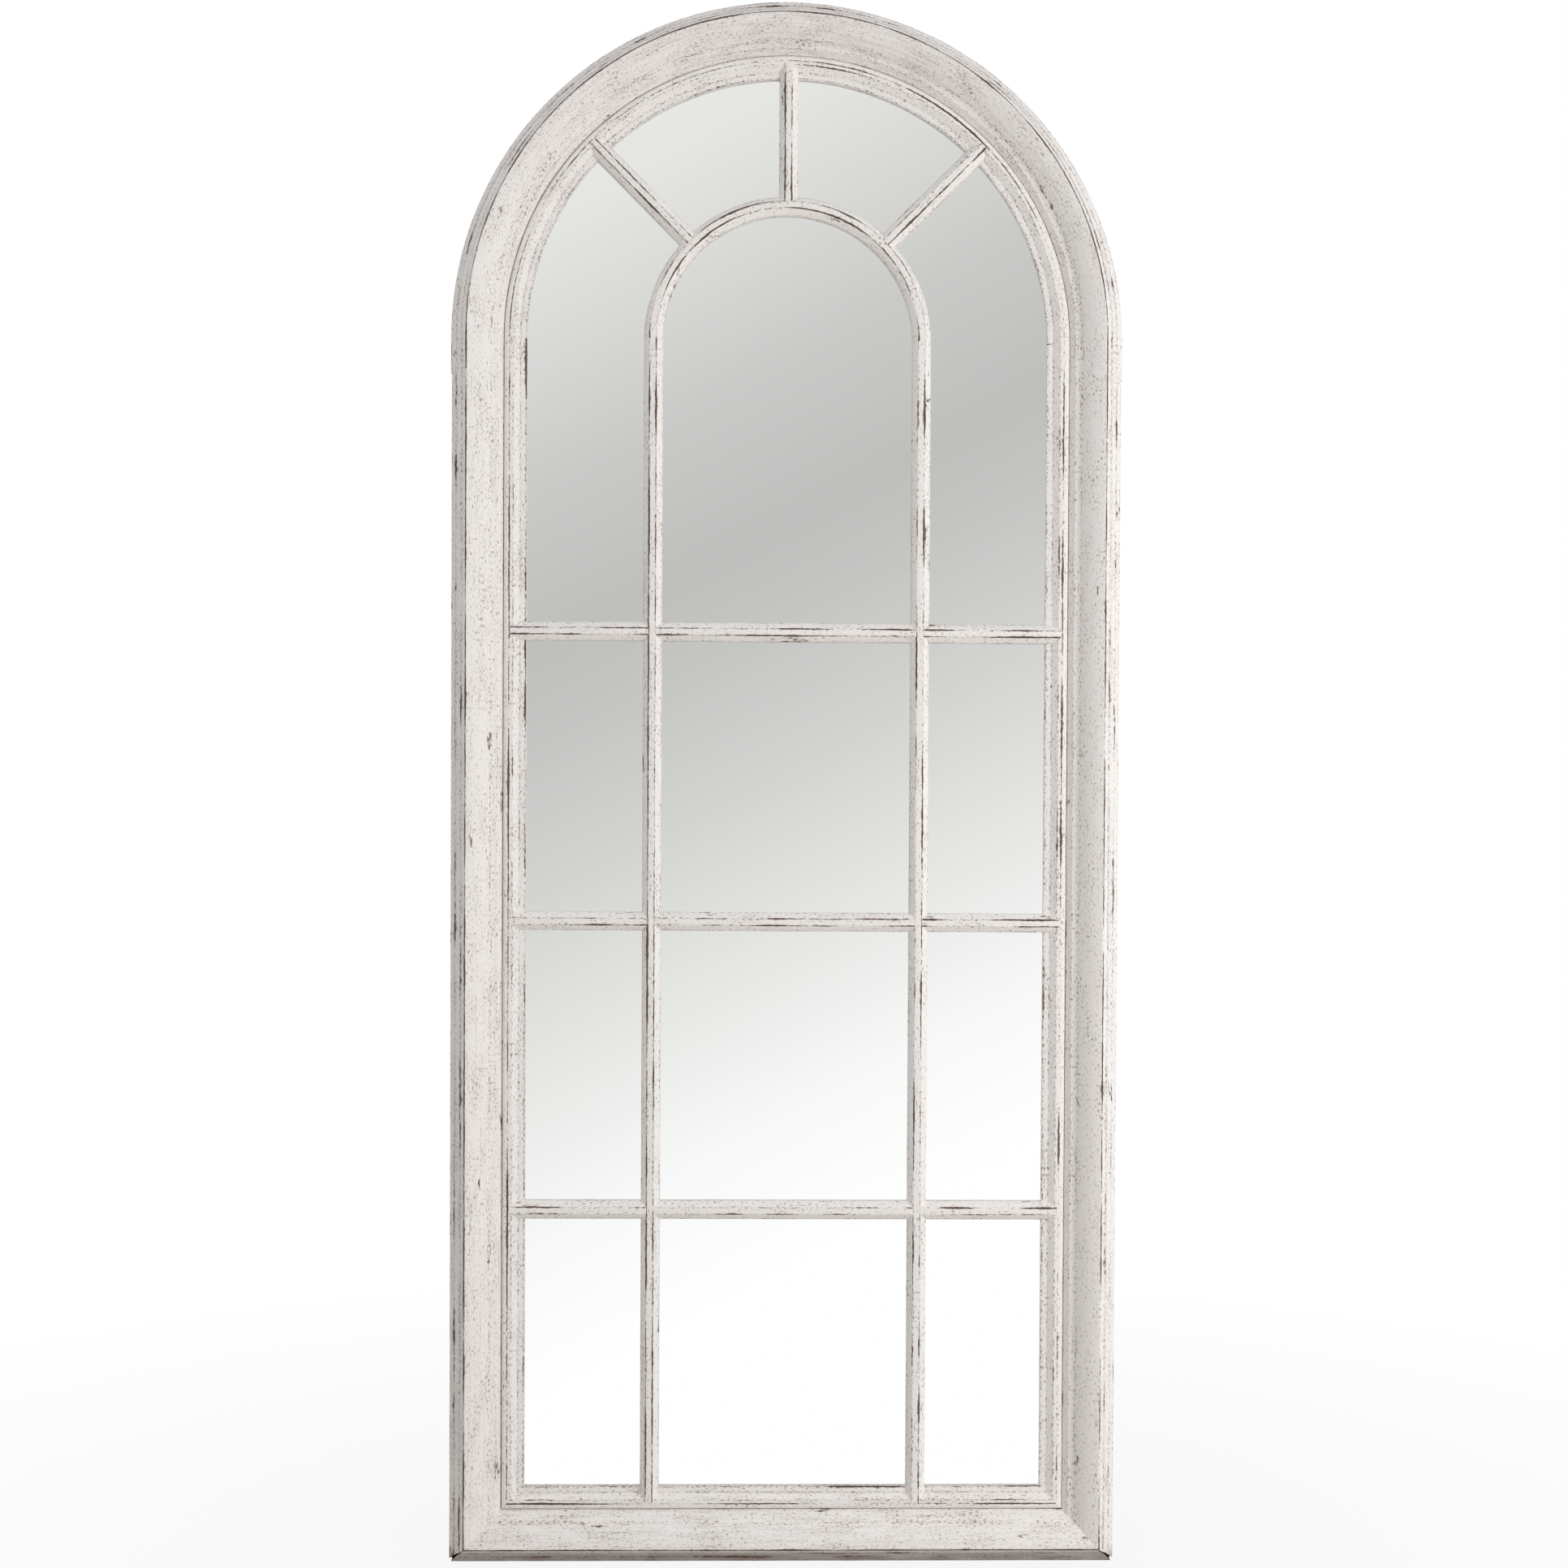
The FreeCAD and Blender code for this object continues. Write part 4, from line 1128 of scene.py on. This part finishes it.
@dataclass
class Studio:
    """The floor, the soft lamps, the surroundings that the mirror shows, and the camera."""

    reach: float = 3.0  # m, from the mirror to the floor's edge
    shadow_near: float = 0.3  # m, within which the floor keeps most of its shadow
    shadow_far: float = 1.6  # m, from where it is plain white
    even_light: float = 0.64  # how strongly the surroundings light the object
    aim: tuple[float, float, float] = (0.0, 0.0, 0.8)  # m, the mirror's middle
    lamps: tuple[Lamp, ...] = (
        Lamp("key", (1.8, -1.85, 0.65), 1.3, 29.0),
        Lamp("back", (-1.8, 2.6, 2.2), 1.8, 36.0),
    )
    room_lean: float = 0.51  # how much the room's tones fall off to the right
    room: tuple[tuple[float, str], ...] = (  # from above the mirror's view down to below it
        (-0.50, "#F0EFEE"), (-0.345, "#E6E6E5"), (-0.232, "#CACAC9"), (-0.16, "#BFBFBE"),
        (-0.118, "#C5C5C4"), (-0.042, "#D4D4D3"), (0.054, "#EAEAE9"), (0.12, "#F8F8F8"),
        (0.19, "#FFFFFF"))
    sensor: float = 36.0  # mm
    focal: float = 48.276  # mm
    shift: tuple[float, float] = (-0.01886, 0.07862)
    camera_place: tuple[float, float, float] = (-0.016872, -2.201737, 0.725481)  # m
    camera_turn: tuple[float, float, float] = (89.0395, -0.2996, -1.2126)  # degrees

    def build(self) -> None:
        """Set up the whole studio."""
        self._floor()
        self._lamps()
        self._surroundings()
        self._camera()

    def _floor(self) -> None:
        """Lay a matt floor that the camera sees as white, with a faint shadow near the mirror."""
        bm = bmesh.new()
        bmesh.ops.create_grid(bm, x_segments=2, y_segments=2, size=self.reach)
        material, tree, out = blank_material("white_studio_floor")
        path = node(tree, "ShaderNodeLightPath")
        where = node(tree, "ShaderNodeTexCoord").outputs["Object"]
        away = node(tree, "ShaderNodeVectorMath", {0: where}, operation="LENGTH").outputs["Value"]
        cover = node(tree, "ShaderNodeMapRange", {
            "Value": away, "From Min": self.shadow_near, "From Max": self.shadow_far,
            "To Min": 0.9, "To Max": 1.0})
        share = node(tree, "ShaderNodeMath", {0: path.outputs["Is Camera Ray"], 1: cover.outputs[0]},
                     operation="MULTIPLY")
        matt = node(tree, "ShaderNodeBsdfDiffuse", {"Color": colour("#A8A39D")})
        glow = node(tree, "ShaderNodeEmission", {"Color": colour("#FFFFFF"), "Strength": 1.0})
        both = node(tree, "ShaderNodeMixShader", {
            0: share.outputs[0], 1: matt.outputs[0], 2: glow.outputs[0]})
        tree.links.new(both.outputs[0], out.inputs[0])
        floor = finished(bm, "studio_floor", material)
        floor.visible_glossy = False  # the mirror shows the surroundings, which are white below

    def _lamps(self) -> None:
        """Hang the key lamp low at the front right, and another high at the back left."""
        for lamp in self.lamps:
            light = bpy.data.lights.new(lamp.name, "AREA")
            light.shape, light.size, light.energy = "SQUARE", lamp.size, lamp.power
            made = bpy.data.objects.new(lamp.name + "_lamp", light)
            bpy.context.scene.collection.objects.link(made)
            made.location = lamp.place
            made.rotation_mode = "QUATERNION"
            made.rotation_quaternion = (Vector(self.aim) - Vector(lamp.place)).to_track_quat("-Z", "Y")
            made.visible_glossy = False

    def _surroundings(self) -> None:
        """Make the world: an even light, white for the camera, and a grey room for the mirror."""
        world = bpy.data.worlds.new("studio")
        bpy.context.scene.world = world
        world.use_nodes = True
        tree = world.node_tree
        tree.nodes.clear()
        out = node(tree, "ShaderNodeOutputWorld")
        path = node(tree, "ShaderNodeLightPath")
        way = node(tree, "ShaderNodeTexCoord").outputs["Generated"]
        split = node(tree, "ShaderNodeSeparateXYZ", {"Vector": way})
        tilt = node(tree, "ShaderNodeMath", {0: split.outputs["X"], 1: self.room_lean, 2: 0.5},
                    operation="MULTIPLY_ADD")
        fall = node(tree, "ShaderNodeMath", {0: tilt.outputs[0], 1: split.outputs["Z"]},
                    operation="SUBTRACT")
        room = ramp(node(tree, "ShaderNodeValToRGB", {0: fall.outputs[0]}), [
            (place + 0.5, colour(tone)[:3]) for place, tone in self.room])
        seen = node(tree, "ShaderNodeMath", {
            0: path.outputs["Is Glossy Ray"], 1: path.outputs["Is Transmission Ray"]}, operation="MAXIMUM")
        even = node(tree, "ShaderNodeBackground", {
            "Color": colour("#FFFFFF"), "Strength": self.even_light})
        grey = node(tree, "ShaderNodeBackground", {"Color": room.outputs[0], "Strength": 1.0})
        white = node(tree, "ShaderNodeBackground", {"Color": colour("#FFFFFF"), "Strength": 1.0})
        shown = node(tree, "ShaderNodeMixShader", {
            0: seen.outputs[0], 1: even.outputs[0], 2: grey.outputs[0]})
        final = node(tree, "ShaderNodeMixShader", {
            0: path.outputs["Is Camera Ray"], 1: shown.outputs[0], 2: white.outputs[0]})
        tree.links.new(final.outputs[0], out.inputs[0])

    def _camera(self) -> None:
        """Stand the camera where the photograph was taken from."""
        lens = bpy.data.cameras.new("camera")
        lens.sensor_width = self.sensor
        lens.lens = self.focal
        lens.shift_x, lens.shift_y = self.shift
        camera = bpy.data.objects.new("camera", lens)
        bpy.context.scene.collection.objects.link(camera)
        camera.location = self.camera_place
        camera.rotation_euler = [math.radians(turn) for turn in self.camera_turn]
        bpy.context.scene.camera = camera


def main() -> None:
    """Build the mirror and its studio, and report each piece."""
    logging.basicConfig(level=logging.INFO, format="%(name)s: %(message)s")
    joint = DarkEndGrain().build()
    for assembly, paint in (
            (MouldedFrame(), RubbedPaint("rubbed_paint_moulding", MOULDING, stride=20, scuff=0.8)),
            (Sash(), RubbedPaint("rubbed_paint_sash", SASH, stride=9)),
            (GlazingBars(), RubbedPaint("rubbed_paint_bars", BAR, stride=16))):
        finish = paint.build()
        for member in assembly.members():
            member.carve(finish, joint)
    MitrePacking().carve(joint)
    Fittings().dress()
    Studio().build()
    bpy.context.scene.view_settings.view_transform = "Standard"


if __name__ == "__main__":
    main()
